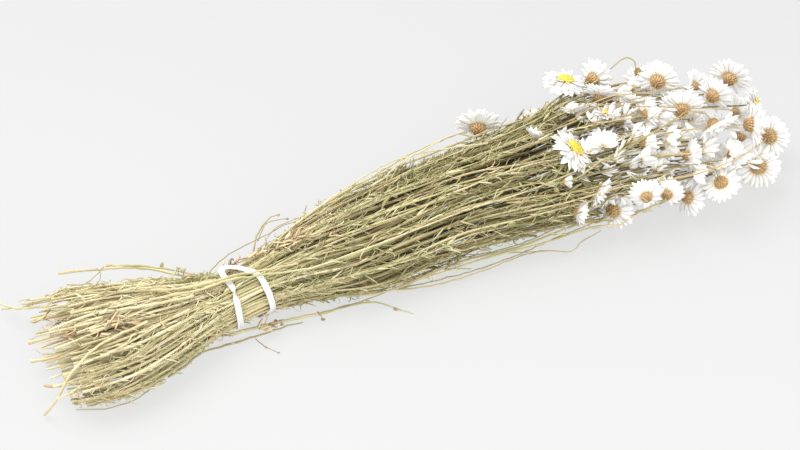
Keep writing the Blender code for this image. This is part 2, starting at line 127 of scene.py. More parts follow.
CLEARING_PUSH = 0.8
CLEARING_EASE = 0.12
GOLDEN_ANGLE = math.radians(137.5)

# By place along X: how thick stems are, how much paler with age, and how light they stay deep in the
# bunch, where painted shade darkens them
STEM_TAPER = ((-260, 0.77), (-118, 0.84), (-40, 0.77), (20, 0.7), (70, 0.64), (120, 0.6), (240, 0.46))
STEM_AGE = ((-260, 0.28), (-150, 0.26), (-100, 0.2), (-20, 0.06), (110, -0.05), (200, -0.08))
DEEP_SHADE = ((-200, 0.95), (-110, 0.85), (-60, 0.4), (-20, 0.05), (140, 0.0), (200, 0.4))

# Flower stems that hang low in front: a place in the cross-section that draws each one there, and
# how far out they may reach past the tie
LOW_LIMIT = 1.9
LOW_RUNS = {"19": (-1.3, -0.95), "22": (-1.2, -0.75), "40": (-1.0, -0.8)}

# Flower stems whose last stretch is seen in front of the others, each joined to its stem from
# so far behind its first point
FRONT_JOIN = 45
FRONT_RUNS = {
    "15": ((85, -37, 41), (128, -43, 46), (170, -51, 46), (202, -51, 48), (222, -46, 48)),
    "13": ((89, -28, 50), (117, -26, 56), (147, -22, 60), (171, -18, 63), (190, -12, 63)),
    "08": (
        (120, 42, 38), (145, 48, 41), (162, 53, 44), (170, 55, 47.5), (176, 56.5, 49.5),
        (180.5, 56, 50.5), (183, 53, 50),
    ),
    "06": ((0, 28, 46), (18, 33, 46), (35, 38, 46), (47, 41, 44)),
    "12": ((111, 20, 57), (129, 17, 61), (147, 18, 62), (170, 12, 62), (190, 8, 62)),
    "42": ((127, 14, 60), (158, 1, 64), (190, -14, 64), (212, -22, 62)),
    "31": ((120, -26, 55), (140, -24, 59), (161, -21, 63), (180, -18, 64)),
}

# Heads that show between the stems, which part in front of them, and how wide
PARTED = {"22": 10.5}
PARTED_WAY = np.array((-0.246, -0.594, 0.766))
PARTED_STEPS = (5, 12, 20, 28)

# What a head's solid is read by: its neck in millimetres, and its cup in shares of its radius
NECK_RADIUS = 1.2
PAST_NECK = 0.5
MERGED = 0.02
CUP_FLOOR = 0.52
CUP_FLOOR_WALL = 0.34
CUP_RIM = 0.43
CUP_RIM_DROP = 0.08

Head = namedtuple("Head", "name root facing radius lift neck")
Stem = namedtuple("Stem", "points shares tints")


def read_head(name):
    """A head's place, facing, radius and petal lift, read off its solid.

    The foot of its cup is a square of known size, with all the rest of the head before it.
    """
    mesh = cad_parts[name].data
    points = np.array([v.co / MM for v in mesh.vertices])
    apart = np.linalg.norm(points[:, None] - points[None], axis=2)
    first = np.argmax(apart < MERGED, axis=1) == np.arange(len(points))
    points = points[first]
    apart = apart[first][:, first]
    beside = np.abs(apart - NECK_RADIUS * math.sqrt(2)) < MERGED
    across = np.abs(apart - NECK_RADIUS * 2) < MERGED
    for a, b in np.argwhere(across):
        others = np.flatnonzero(beside[a] & beside[b])
        if len(others) < 2:
            continue
        neck = (points[a] + points[b]) / 2
        facing = np.cross(points[b] - points[a], points[others[1]] - points[others[0]])
        facing = facing / np.linalg.norm(facing)
        heights = (points - neck) @ facing
        if heights.min() > -MERGED:
            break
    radius = heights[heights > PAST_NECK].min() / (CUP_FLOOR - CUP_FLOOR_WALL)
    root = neck + facing * CUP_FLOOR * radius
    out = np.linalg.norm(np.cross(points - root, facing), axis=1)
    tip = int(np.argmax(out))
    rise = heights[tip] - (CUP_FLOOR - CUP_RIM_DROP) * radius
    lift = math.atan2(rise, out[tip] - CUP_RIM * radius)
    return Head(name[-2:], root, facing, radius, lift, neck)


def section(x):
    """Middle in Y, middle height, half width and half height of the bunch at x."""
    columns = np.array(SECTIONS, float).T
    middle, width, height = (np.interp(x, columns[0], columns[k]) for k in (1, 2, 3))
    near_tie = np.exp(-(((x - TIE_X) / (2 * TIE_REACH)) ** 2))
    return middle, height + TIE_LIFT * near_tie, width, height


def read_table(table, place):
    """The value at a place, in a table of places and values."""
    return np.interp(place, *np.array(table).T)


def depth_share(points):
    """How far out in the bunch's cross-section each point lies: 0 in its middle, 1 at its skin."""
    middle, high, width, height = section(points[:, 0])
    return np.hypot((points[:, 1] - middle) / width, (points[:, 2] - high) / height)


def polar(share, angle):
    """A place in the cross-section, so far out and at this angle."""
    return share * np.array((math.cos(angle), math.sin(angle)))


def goal_of(head):
    """The place in the cross-section that a flower stem makes for, and where along X it stops."""
    end = head.neck - head.facing * BEHIND_HEAD
    m, h, w, t = section(end[0])
    return np.array(((end[1] - m) / w, (end[2] - h) / t)), end[0]


def sway_of(draw, stations):
    """Two slow waves and two quick ones, across and up."""
    ways = []
    for _ in range(2):
        way = 0
        for shortest, longest, size in (LONG_WAVE, SHORT_WAVE):
            length, phase = draw.uniform(shortest, longest), draw.uniform(0, math.tau)
            way = way + size * np.sin(stations * math.tau / length + phase)
        ways.append(way)
    return np.stack(ways, axis=1)


def stem_lines(heads):
    """The centre line of every stem: those of the heads first, then the bare ones."""
    draw = Random(5)
    stations = np.arange(BUTTS[0] - STATION, SECTIONS[-1][0] + STATION, STATION)
    goals, stops = (list(column) for column in zip(*[goal_of(head) for head in heads]))
    while len(goals) < STEMS:
        goals.append(polar(math.sqrt(draw.uniform(*BARE_PLACES)), draw.uniform(0, math.tau)))
        ends = BROKEN_ENDS if draw.random() < BROKEN_STEMS else BARE_ENDS
        stops.append(draw.uniform(*ends))
    slots = []
    for k in range(STEMS):
        slot = polar(OUTERMOST * math.sqrt((k + 0.5) / STEMS), k * GOLDEN_ANGLE)
        slots.append(slot + (draw.gauss(0, SLOT_JITTER), draw.gauss(0, SLOT_JITTER)))
    slots.sort(key=lambda slot: math.atan2(slot[1], slot[0]))
    turn = [math.atan2(goal[1], goal[0]) + draw.gauss(0, CROSSING) for goal in goals]
    order = sorted(range(STEMS), key=lambda k: turn[k])
    slot_of = dict(zip(order, slots))
    middle, high, width, height = section(stations)
    centre = np.stack((middle, high), axis=1)
    tied = np.clip((np.abs(stations - TIE_X) - TIE_REACH) / TIE_REACH, 0, 1)
    size = np.stack((width, height), axis=1) * (TIE_FILL + (1 - TIE_FILL) * tied)[:, None]
    lines = []
    for k in range(STEMS):
        half_way = (slot_of[k] + goals[k]) / 2 + (draw.uniform(-BOW, BOW), draw.uniform(-BOW, BOW))
        limit = np.ones((len(stations), 1))
        if k < len(heads) and heads[k].name in LOW_RUNS:
            half_way = np.array(LOW_RUNS[heads[k].name])
            limit[stations > TIE_X] = LOW_LIMIT
        spread = np.array((draw.uniform(-SPREAD_Y, SPREAD_Y), draw.uniform(-SPREAD_Z, SPREAD_Z)))
        ahead = np.clip((stations - TIE_X) / (stops[k] - TIE_X), 0, 1)[:, None]
        behind = np.clip((TIE_X - stations) / (TIE_X - BUTTS[0]), 0, 1)[:, None]
        course = slot_of[k] * (1 - ahead) ** 2 + 2 * half_way * ahead * (1 - ahead)
        course = course + goals[k] * ahead**2 + spread * behind
        reach = np.linalg.norm(course, axis=1, keepdims=True)
        course = np.where(reach > limit, course * limit / reach, course)
        lines.append(centre + course * size + sway_of(draw, stations) * tied[:, None])
    return stations, np.array(lines), stops, draw


def clear_heads(stations, lines, heads):
    """The lines pushed aside where they would run through a head that is not their own."""
    roots = [head.root for head in heads]
    reach = [head.radius * CLEAR_SHARE for head in heads]
    for head in heads:
        if head.name in PARTED:
            roots += [head.root + step * PARTED_WAY for step in PARTED_STEPS]
            reach += [PARTED[head.name]] * len(PARTED_STEPS)
    roots, reach = np.array(roots), np.array(reach)
    kept = np.sqrt(np.clip(reach**2 - (stations[:, None] - roots[:, 0]) ** 2, 0, None))
    own = np.eye(len(lines), len(roots), dtype=bool)[:, None, :]
    own[:, :, len(heads) :] = False
    for _ in range(CLEARING_PASSES):
        lines[:, 1:-1] += CLEARING_EASE * ((lines[:, :-2] + lines[:, 2:]) / 2 - lines[:, 1:-1])
        offset = lines[:, :, None, :] - roots[:, 1:]
        distance = np.linalg.norm(offset, axis=3) + 1e-6
        push = np.where(own, 0, np.clip(kept - distance, 0, None))
        lines += CLEARING_PUSH * (offset * (push / distance)[..., None]).sum(axis=2)
        lines[..., 1] = np.maximum(lines[..., 1], LOWEST)
    return lines


def smooth_line(points, step):
    """A line through the points, rounded at each of them, with a point every step or so."""
    points = np.array(points, float)
    padded = np.concatenate((2 * points[:1] - points[1:2], points, 2 * points[-1:] - points[-2:-1]))
    line = []
    for k in range(1, len(points)):
        before, start, end, after = padded[k - 1 : k + 3]
        count = max(2, round(np.linalg.norm(end - start) / step))
        for s in np.arange(count) / count:
            bend = 2 * before - 5 * start + 4 * end - after
            cube = 3 * start - before - 3 * end + after
            line.append(start + 0.5 * s * (end - before + s * (bend + s * cube)))
    return line + [points[-1]]


def neck_bend(before, start, head):
    """The last stretch of a flower stem, curving in behind its head."""
    along = (start - before) / np.linalg.norm(start - before)
    pull = np.linalg.norm(head.neck - start) * NECK_PULL
    handles = (start, start + along * pull, head.neck - head.facing * pull, head.neck)
    points = []
    for step in range(1, NECK_STEPS + 1):
        s = step / NECK_STEPS
        weights = ((1 - s) ** 3, 3 * s * (1 - s) ** 2, 3 * s * s * (1 - s), s**3)
        points.append(sum(weight * handle for weight, handle in zip(weights, handles)))
    return points


def grown_stem(route, draw):
    """A stem's thickness and lightness along its route, darkened deep in the bunch with painted shade."""
    route = np.array(route)
    x = route[:, 0]
    shares = draw.uniform(*STEM_THICKNESSES) * read_table(STEM_TAPER, x)
    shares = [share * draw.choice(STEM_JOINTS) for share in shares]
    skin = np.clip((depth_share(route) - SKIN_SHADE[0]) / SKIN_SHADE[1], 0, 1)
    shade = read_table(DEEP_SHADE, x)
    tints = draw.uniform(*STEM_TINTS) * (shade + (1 - shade) * skin)
    return Stem(route, shares, np.minimum(tints + read_table(STEM_AGE, x), PALEST))


def flower_stems(heads):
    """Every stem from its cut end to its head or its bare tip."""
    stations, lines, stops, draw = stem_lines(heads)
    lines = clear_heads(stations, lines, heads)
    stems = []
    for k, line in enumerate(lines):
        start = draw.triangular(*BUTTS, USUAL_BUTT)
        kept = (stations > start) & (stations < stops[k])
        if k < len(heads) and heads[k].name in FRONT_RUNS:
            kept &= stations < FRONT_RUNS[heads[k].name][0][0] - FRONT_JOIN
        route = [np.array((x, *place)) for x, place in zip(stations[kept], line[kept])]
        if k < len(heads) and heads[k].name in FRONT_RUNS:
            front = smooth_line((route[-1], *FRONT_RUNS[heads[k].name]), STATION)
            route = route[:-1] + front
        if k < len(heads):
            route = route[:-1] + neck_bend(route[-2], route[-1], heads[k])
        stems.append(grown_stem(route, draw))
    return stems


def add_grain(mesh, grain):
    """What the finish reads at each point: places across and along in millimetres, and a tint."""
    layer = mesh.attributes.new("grain", "FLOAT_VECTOR", "POINT")
    layer.data.foreach_set("vector", np.asarray(grain, np.float32).ravel())


def edit_faces(piece, wanted):
    """Goes to edit mode on a piece, with only its wanted faces selected."""
    bpy.ops.object.mode_set(mode="EDIT")
    bpy.ops.mesh.select_all(action="DESELECT")
    bpy.ops.object.mode_set(mode="OBJECT")
    for face in piece.data.polygons:
        face.select = wanted(face)
    bpy.ops.object.mode_set(mode="EDIT")


def rods(name, stems, hollow, finish):
    """One mesh of round rods along the stems, each closed at both ends and hollow at its first."""
    curve = bpy.data.curves.new(name, "CURVE")
    curve.dimensions = "3D"
    curve.bevel_depth = STEM_RADIUS * MM
    curve.bevel_resolution = STEM_SIDES // 2 - 2
    around = np.abs(np.arange(STEM_SIDES) - STEM_SIDES / 2)
    grain = []
    first_rings = []
    count = 0
    for number, (route, shares, tints) in enumerate(stems):
        spline = curve.splines.new("POLY")
        spline.points.add(len(route) - 1)
        spline.points.foreach_set("co", np.c_[route * MM, np.ones(len(route))].ravel())
        spline.points.foreach_set("radius", shares)
        steps = np.linalg.norm(np.diff(route, axis=0), axis=1)
        along = np.concatenate(((0,), np.cumsum(steps))) + MARKS_ALONG * (number % MARKS_ROWS)
        for place, tint in zip(along, tints):
            grain += [(side + MARKS_ACROSS * number, place, tint) for side in around]
        first_rings.append(count)
        count += STEM_SIDES * len(route)
    rod = bpy.data.objects.new(name, curve)
    bpy.context.scene.collection.objects.link(rod)
    bpy.context.view_layer.objects.active = rod
    rod.select_set(True)
    bpy.ops.object.convert(target="MESH")
    add_grain(rod.data, grain)
    bpy.ops.object.mode_set(mode="EDIT")
    bpy.ops.mesh.select_all(action="SELECT")
    bpy.ops.mesh.fill_holes(sides=STEM_SIDES)
    bpy.ops.mesh.normals_make_consistent(inside=False)
    starts = set(first_rings)
    edit_faces(rod, lambda face: len(face.vertices) == STEM_SIDES and min(face.vertices) in starts)
    bpy.ops.mesh.inset(thickness=CUT_WALL * STEM_RADIUS * MM, depth=-hollow * MM, use_individual=True)
    bpy.ops.object.mode_set(mode="OBJECT")
    bpy.ops.object.shade_smooth_by_angle(angle=ROUND_TO)
    rod.data.materials.append(finish)
    rod.select_set(False)
    return rod


class Link:
    """A socket of a material, so that shader maths is written as an expression."""

    def __init__(self, socket):
        self.socket = socket

    def node(self, kind, inputs, output=0, stops=(), **settings):
        """Another node in this material: its settings first, then its sockets' values or links.

        A ramp's stop is its place, then the red, green and blue that it looks like.
        """
        tree = self.socket.id_data
        made = tree.nodes.new("ShaderNode" + kind)
        for name, value in settings.items():
            setattr(made, name, value)
        for number, (place, *looks) in enumerate(stops):
            elements = made.color_ramp.elements
            stop = elements[number] if number < 2 else elements.new(place)
            stop.position = place
            stop.color = (*[(part / 255) ** 2.2 for part in looks], 1)
        for name, value in inputs.items():
            if isinstance(value, Link):
                tree.links.new(value.socket, made.inputs[name])
            else:
                made.inputs[name].default_value = value
        return Link(made.outputs[output])

    def math(self, operation, first, second):
        return self.node("Math", {0: first, 1: second}, operation=operation)

    def mix(self, other, share):
        """This colour going over to the other one as share goes from 0 to 1."""
        inputs = {"Factor": share, "A": self, "B": other}
        return self.node("Mix", inputs, output="Result", data_type="RGBA")

    def part(self, number):
        """One of this vector's three numbers."""
        return self.node("SeparateXYZ", {0: self}, output=number)

    def ramp(self, stops):
        """The colour that a ramp with these stops has at this value."""
        return self.node("ValToRGB", {"Fac": self}, stops=stops)

    def between(self, low, high):
        """How far this value is on its way from low to high, within 0 and 1."""
        return self.node("MapRange", {"Value": self, "From Min": low, "From Max": high})

    def noise(self, scale, detail=3.0):
        """Noise over the piece's grain, scaled across, along and by its tint."""
        stretched = self.node("Mapping", {"Vector": self, "Scale": scale})
        return self.node("TexNoise", {"Vector": stretched, "Scale": 1.0, "Detail": detail})

    def __add__(self, other):
        return self.math("ADD", self, other)

    def __sub__(self, other):
        return self.math("SUBTRACT", self, other)

    def __rsub__(self, other):
        return self.math("SUBTRACT", other, self)

    def __mul__(self, other):
        return self.math("MULTIPLY", self, other)

    __radd__ = __add__
    __rmul__ = __mul__


def make_finish(look, roughness, depth=0.0, **fixed):
    """A material named for its look, which gives a colour over the piece's grain, and a bump."""
    made = bpy.data.materials.new(look.__name__)
    made.use_nodes = True
    sockets = made.node_tree.nodes["Principled BSDF"].inputs
    sockets["Roughness"].default_value = roughness
    for socket, value in fixed.items():
        sockets[socket].default_value = value
    grain = Link(sockets[0]).node("Attribute", {}, output="Vector", attribute_name="grain")
    colour, bump = look(grain)
    links = made.node_tree.links
    links.new(colour.socket, sockets["Base Color"])
    if bump:
        raised = bump.node("Bump", {"Height": bump, "Strength": 1.0, "Distance": depth * MM})
        links.new(raised.socket, sockets["Normal"])
    return made


STRAW_TONES = ((0.0, 62, 52, 34), (0.3, 150, 134, 92), (0.65, 206, 192, 150), (1.0, 232, 222, 192))
GREEN_TONES = ((0.0, 48, 46, 28), (0.3, 126, 126, 76), (0.65, 178, 176, 122), (1.0, 218, 214, 168))
TAN_TONES = ((0.0, 86, 66, 46), (0.5, 172, 144, 102), (1.0, 214, 190, 148))

# Where the stems go over to straw at their cut ends and to tan near the heads, in metres along X
CUT_END = (-0.11, -0.2)
HEAD_END = (0.07, 0.17)


def dry_stem(grain):
    """Straw, green or tan from stem to stem, in fine fibres and slow blotches."""
    fibre = grain.noise((2.3, 0.14, 0), 4.0)
    blotch = grain.noise((0.31, 0.035, 0), 2.0)
    kind = grain.noise((0.137, 0.006, 0), 1.0)
    # The tint is partly painted shade: stems deep in the bunch come out darker
    shade = grain.part(2) * 0.64 + fibre * 0.5 + blotch * 0.5 - 0.36
    place = grain.node("TexCoord", {}, output="Object").part(0)
    greener = (1 - kind.between(0.36, 0.56)) * (1 - place.between(*CUT_END) * 0.7)
    browner = kind.between(0.62, 0.68) * 0.5 + place.between(*HEAD_END) * 0.45
    colour = shade.ramp(STRAW_TONES).mix(shade.ramp(GREEN_TONES), greener)
    colour = colour.mix(shade.ramp(TAN_TONES), browner)
    return colour, fibre


heads = [read_head(name) for name in sorted(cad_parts) if name.startswith("bloom_")]
stems = flower_stems(heads)
stem_finish = make_finish(dry_stem, 0.62, 0.22)
rod = rods("flower_stems", stems, CUT_HOLLOW, stem_finish)
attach(rod, "root")
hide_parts("stems")


# Loose stems. The strays that stand off the bunch at its cut ends and along its edges, thin twigs
# with dry buds above the tie, and the snapped stems that lie on the surface in front of it. Each is
# a rod bent through listed points.
LOOSE_STEMS = (  # thickness at the first point and the last, tint, the points each runs through
    (0.9, 1.0, 0.9, (-259, 47, 8), (-250, 36, 13), (-236, 27, 18), (-216, 12, 28), (-190, -4, 38)),
    (0.4, 0.9, 0.5, (-259, 42, 9), (-252, 38, 12), (-243, 32, 15)),
    (1.2, 0.8, 1.0, (-206, -9, 41), (-177, -14, 40), (-150, -15, 37)),
    (0.8, 0.8, 0.6, (-247, 35, 16), (-230, 28, 22), (-213, 17, 32), (-190, 3, 39), (-160, -6, 37)),
    (1.0, 0.9, 0.7, (-220, 47, 20), (-198, 36, 26), (-172, 24, 29), (-144, 3, 30), (-122, -9, 28)),
    (0.8, 0.5, 0.6, (-192, 36, 27), (-176, 27, 30), (-160, 18, 30), (-140, 2, 31)),
    (1.25, 1.0, 0.8, (-250, 8, 12), (-234, 3, 17), (-214, -6, 26), (-190, -12, 34)),
    (1.2, 1.0, 0.8, (-252, -4, 9), (-238, -9, 13), (-216, -14, 24), (-190, -18, 33)),
    (0.95, 0.9, 0.85, (-254, -40, 3), (-246, -42, 15), (-232, -36, 29), (-212, -30, 39), (-181, -25, 40)),
    (1.3, 1.0, 0.7, (-249, -24, 9), (-240, -31, 14), (-229, -38, 20), (-212, -44, 26), (-190, -34, 34)),
    (1.0, 0.8, 0.7, (-173, -2, 38), (-150, -8, 37), (-129, -11, 39), (-112, -13, 39), (-84, -17, 39)),
    (0.9, 0.7, 0.9, (-176, -9, 39), (-147, -11, 36), (-127, -13, 39), (-110, -16, 38), (-80, -22, 38)),
    (0.4, 0.45, 0.6, (-236, -43, 2), (-216, -49, 1.5), (-199, -48, 1), (-184, -42, 2), (-168, -34, 6)),
    (1.35, 1.1, 0.9, (-134, -25, 1.4), (-121, -26, 1.4), (-104, -27, 1.4), (-77, -31, 1.3)),
    (1.1, 0.35, 0.8, (-77, -31, 1.3), (-60, -32, 1), (-45, -34, 1), (-37, -39, 1), (-30, -46, 1),
     (-22, -53, 0.6)),
    (0.7, 0.3, 0.5, (-64, -32, 1.2), (-45, -33, 2.5), (-32, -34, 5)),
    (0.9, 0.7, 0.4, (-178, -42, 3), (-166, -37, 2), (-152, -31, 1), (-134, -32, 1), (-107, -32, 0.8)),
    (0.7, 0.4, 0.4, (-107, -32, 0.8), (-98, -32, 0.8), (-88, -33, 0.8)),
    (0.3, 0.25, 0.3, (-120, -34, 0.5), (-116, -42, 0.5), (-110, -49, 0.4)),
    (0.45, 0.3, 0.4, (-142, -2, 28), (-130, 6, 32), (-120, 8, 36), (-101, 8, 42), (-83, 9, 46),
     (-76, 8, 47)),
    (0.7, 0.35, 0.4, (-106, 4, 34), (-101, 12, 37), (-98, 15, 40), (-88, 20, 44), (-83, 19, 45)),
    (0.5, 0.3, 0.4, (-100, 10, 38), (-93, 17, 42), (-86, 17, 44), (-79, 14, 45)),
    (0.5, 0.3, 0.5, (-96, 8, 38), (-87, 12, 43), (-79, 10, 47), (-70, 9, 49)),
    (0.55, 0.4, 0.7, (-60, -24, 8), (-35, -31, 5), (-14, -30, 4), (7, -30, 4), (25, -37, 4)),
    (0.7, 0.4, 0.7, (-70, -24, 8), (-31, -33, 5), (-11, -39, 5), (12, -41, 4), (31, -41, 4), (42, -41, 5),
     (58, -40, 5), (75, -42, 5), (90, -48, 4), (102, -44, 6), (114, -43, 8)),
    (0.65, 0.45, 0.8, (-50, -22, 10), (-14, -31, 6), (17, -31, 7), (49, -32, 7), (70, -32, 7),
     (89, -30, 8), (118, -32, 9)),
    (0.5, 0.35, 0.6, (10, -28, 8), (41, -30, 5), (63, -39, 5), (76, -43, 5)),
    (0.35, 0.3, 0.6, (-230, 28, 24), (-224, 28, 27), (-219, 25, 29), (-212, 17, 32)),
    (0.4, 0.3, 0.4, (-218, 29, 29), (-208, 22, 33), (-201, 24, 35), (-196, 26, 37), (-194, 26, 39)),
    (0.35, 0.3, 0.4, (-208, 18, 32), (-201, 19, 34), (-197, 23, 37), (-198, 26, 39)),
    (0.6, 0.4, 0.6, (-90, -20, 8), (-40, -30, 3), (0, -36, 3), (40, -38, 3), (80, -36, 5), (125, -34, 9)),
    (0.65, 0.5, 0.9, (-90, 4, 41), (-68, 13, 43), (-40, 22, 45), (-10, 31, 46), (8, 32, 47), (30, 28, 49),
     (60, 20, 51)),
    (0.6, 0.5, 0.8, (-60, 14, 40), (-30, 24, 42), (-4, 33, 42), (25, 39, 43), (52, 41, 44)),
)
BUDS = (  # place and size of the dry buds and joints on them
    (-160, 20, 31, 1.6), (-150, 6, 37, 1.8), (-152, 9, 37, 1.3), (-232, 37, 15, 1.0),
    (-104, -27, 1.6, 1.9), (-101, -30, 1.2, 1.3), (-77, -31, 1.6, 1.3), (-76, -36, 1.2, 1.3),
    (-45, -34, 1.4, 1.4), (-31, -46, 1.2, 1.5), (-116, -42, 0.9, 0.9), (-110, -49, 0.7, 0.7),
    (-83, 19, 45, 1.0), (-79, 14, 45, 0.9), (-76, 8, 47, 0.8), (-70, 9, 49, 0.9), (-134, -32, 1.4, 1.2),
    (85, -30, 47, 2.0), (-259, 42, 9, 0.8),
)
LOOSE_STEP = 4.0
LOOSE_WOBBLE = 0.35
LOOSE_HOLLOW = 2.0
OFF_FLOOR = 0.05
BUD_STEPS = (-1, -0.7, -0.2, 0.4, 0.8, 1.1)
BUD_SHARES = (0.3, 0.8, 1.0, 0.9, 0.6, 0.3)
BUD_FATNESS = 0.75
BUD_HOLLOW = 0.1
BUD_TURN = (-0.2, 0.6)
BUD_TINTS = (0.2, 0.8)
STALK = 0.28
STALK_TINTS = (0.2, 0.7)
STALK_RISE = 0.15


def loose_stem(draw, thickness, tip, tint, *points):
    """A slightly crooked rod through the points, which thins out to its tip."""
    line = np.array(smooth_line(points, LOOSE_STEP))
    wobble = [draw.uniform(-LOOSE_WOBBLE, LOOSE_WOBBLE) for _ in range(3 * len(line))]
    line = line + np.array(wobble).reshape(-1, 3)
    shares = np.linspace(thickness, tip, len(line))
    line[:, 2] = np.maximum(line[:, 2], shares * STEM_RADIUS + OFF_FLOOR)
    shares = [share * draw.choice(STEM_JOINTS) for share in shares]
    return Stem(line, shares, np.full(len(line), tint))


def dry_bud(place, size, draw):
    """A small knobbly bud, as a short fat rod."""
    turn = Vector((draw.uniform(-1, 1), draw.uniform(-1, 1), draw.uniform(*BUD_TURN))).normalized()
    line = np.array([place + np.array(turn) * size * step for step in BUD_STEPS])
    shares = np.array(BUD_SHARES) * size * BUD_FATNESS / STEM_RADIUS
    line[:, 2] = np.maximum(line[:, 2], shares * STEM_RADIUS + OFF_FLOOR)
    return Stem(line, list(shares), np.full(len(line), draw.uniform(*BUD_TINTS)))


def stalk_to(place, stems, draw):
    """The short stalk that holds a bud to the nearest stem."""
    points = np.concatenate([stem.points for stem in stems])
    start = points[np.argmin(np.linalg.norm(points - place, axis=1))]
    bow = (start + place) / 2 + (0, 0, STALK_RISE * np.linalg.norm(place - start))
    return loose_stem(draw, STALK, STALK, draw.uniform(*STALK_TINTS), start, bow, place)


draw = Random(23)
loose_stems = [loose_stem(draw, *row) for row in LOOSE_STEMS]
bud_rows = [(np.array(place, float), size) for *place, size in BUDS]
buds = [dry_bud(place, size, draw) for place, size in bud_rows]
stalks = [stalk_to(place, stems + loose_stems, draw) for place, size in bud_rows]
for name, lengths, hollow in (
    ("loose_stems", loose_stems, LOOSE_HOLLOW),
    ("dry_buds", buds + stalks, BUD_HOLLOW),
):
    rod = rods(name, lengths, hollow, stem_finish)
    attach(rod, "root")
    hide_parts("stems")


# Leaves. Thousands of small narrow leaves on the stems, dried and curled into wisps and hooks,
# with a few broader twisted blades. Some are modelled, each with its own curl, and copied along
# the stems. Withered brown ones hang together in tufts by the tie and at the cut ends.
LEAVES = 8800
LEAF_LENGTH = 10.0
LEAF_RINGS = 6
LEAF_STEPS = 60
LEAF_THICKNESS = 0.4
LEAF_TAPER = ((0, 0.6), (0.3, 1.0), (0.7, 0.75), (1.0, 0.12))
LEAF_KINDS = (  # how many shapes, half width, early curl, late curl and twist in degrees
    (6, 0.62, 40, 90, 120),
    (6, 0.52, 50, 280, 90),
    (4, 0.44, 130, 420, 60),
    (3, 1.15, 25, 60, 240),
    (4, 1.5, 150, 300, 200),
)
LEAF_DRAW = (1.5, 6, 8, 1.5, 0)  # how often each kind grows on a stem
LATE_CURLS = (0.4, 1)
LEAF_SCALES = (0.45, 1.32)
LEAF_LEAN = (4, 44)
LEAF_RISE = 0.2
LEAF_TRIES = 3
LEAF_BACKWARDS = 0.3
LEAF_OFF = 0.6
LEAF_CLEAR = 0.3
LIKE_ITS_STEM = 0.3
LEAF_TINTS = 0.75
LEAFY = (-100, 203)
THINNING_FROM = 105
FAR_OUT = 1.1
FAR_SHRINK = 0.5
MID_LEAVES = 0.9
FAN_SCALE = 0.9
FAN_PALE = 0.14
BARE_TIE = 8
LEAF_SKIN = 0.77
WITHERED = 0.08
WITHERED_TINT = 2
TUFT_SHAPES = (16, 23)  # the broader kinds
TUFT_SCALES = (0.65, 1.15)
TUFT_TURN = 0.9
TUFT_TIP = 0.5
TUFT_SPREAD = (1, 0.4, 0.3)
TUFTS = (  # middle, how far apart, how many
    ((-83, 0, 41), 4.5, 26),
    ((-104, 1, 37), 3.5, 10),
    ((-121, 0, 34), 3.5, 10),
    ((-150, 2, 35), 1.5, 5),
    ((-200, -19, 39), 6.5, 24),
    ((-228, -12, 34), 5.0, 14),
    ((-236, 6, 27), 5.0, 10),
    ((-110, -33, 9), 4.0, 8),
    ((-20, -30, 22), 4.0, 7),
    ((20, -27, 31), 4.0, 7),
    ((-60, -6, 42), 5.0, 7),
)

Shape = namedtuple("Shape", "points faces grain")


def take(modelled, grain):
    """A modelled object as a shape to copy; the object is removed."""
    bpy.ops.object.mode_set(mode="EDIT")
    bpy.ops.mesh.select_all(action="SELECT")
    bpy.ops.mesh.quads_convert_to_tris()
    bpy.ops.object.mode_set(mode="OBJECT")
    mesh = modelled.data
    points = np.array([v.co for v in mesh.vertices])
    faces = np.array([face.vertices for face in mesh.polygons])
    bpy.data.objects.remove(modelled)
    return Shape(points, faces, np.array([grain(p) for p in points]))


def spin(axis, angle, size=4):
    """A turn about an axis, as a matrix of this size."""
    return Matrix.Rotation(angle, size, axis)


def mesh_piece(name, points, faces, grain, finish):
    """A smooth piece from its points in millimetres, its faces, its grain and its finish."""
    mesh = bpy.data.meshes.new(name)
    mesh.from_pydata(points * MM, [], faces)
    add_grain(mesh, grain)
    mesh.materials.append(finish)
    mesh.shade_smooth()
    piece = bpy.data.objects.new(name, mesh)
    bpy.context.scene.collection.objects.link(piece)
    return piece


def copies(name, shapes, placings, finish):
    """One mesh of copies: each placing is a shape's number, a 4x4 matrix and a tint."""
    parts = []
    count = 0
    for number, matrix, tint in placings:
        shape = shapes[number]
        matrix = np.array(matrix)
        points = shape.points @ matrix[:3, :3].T + matrix[:3, 3]
        grain = np.c_[shape.grain, np.full(len(points), tint)]
        parts.append((points, shape.faces + count, grain))
        count += len(points)
    return mesh_piece(name, *map(np.concatenate, zip(*parts)), finish)


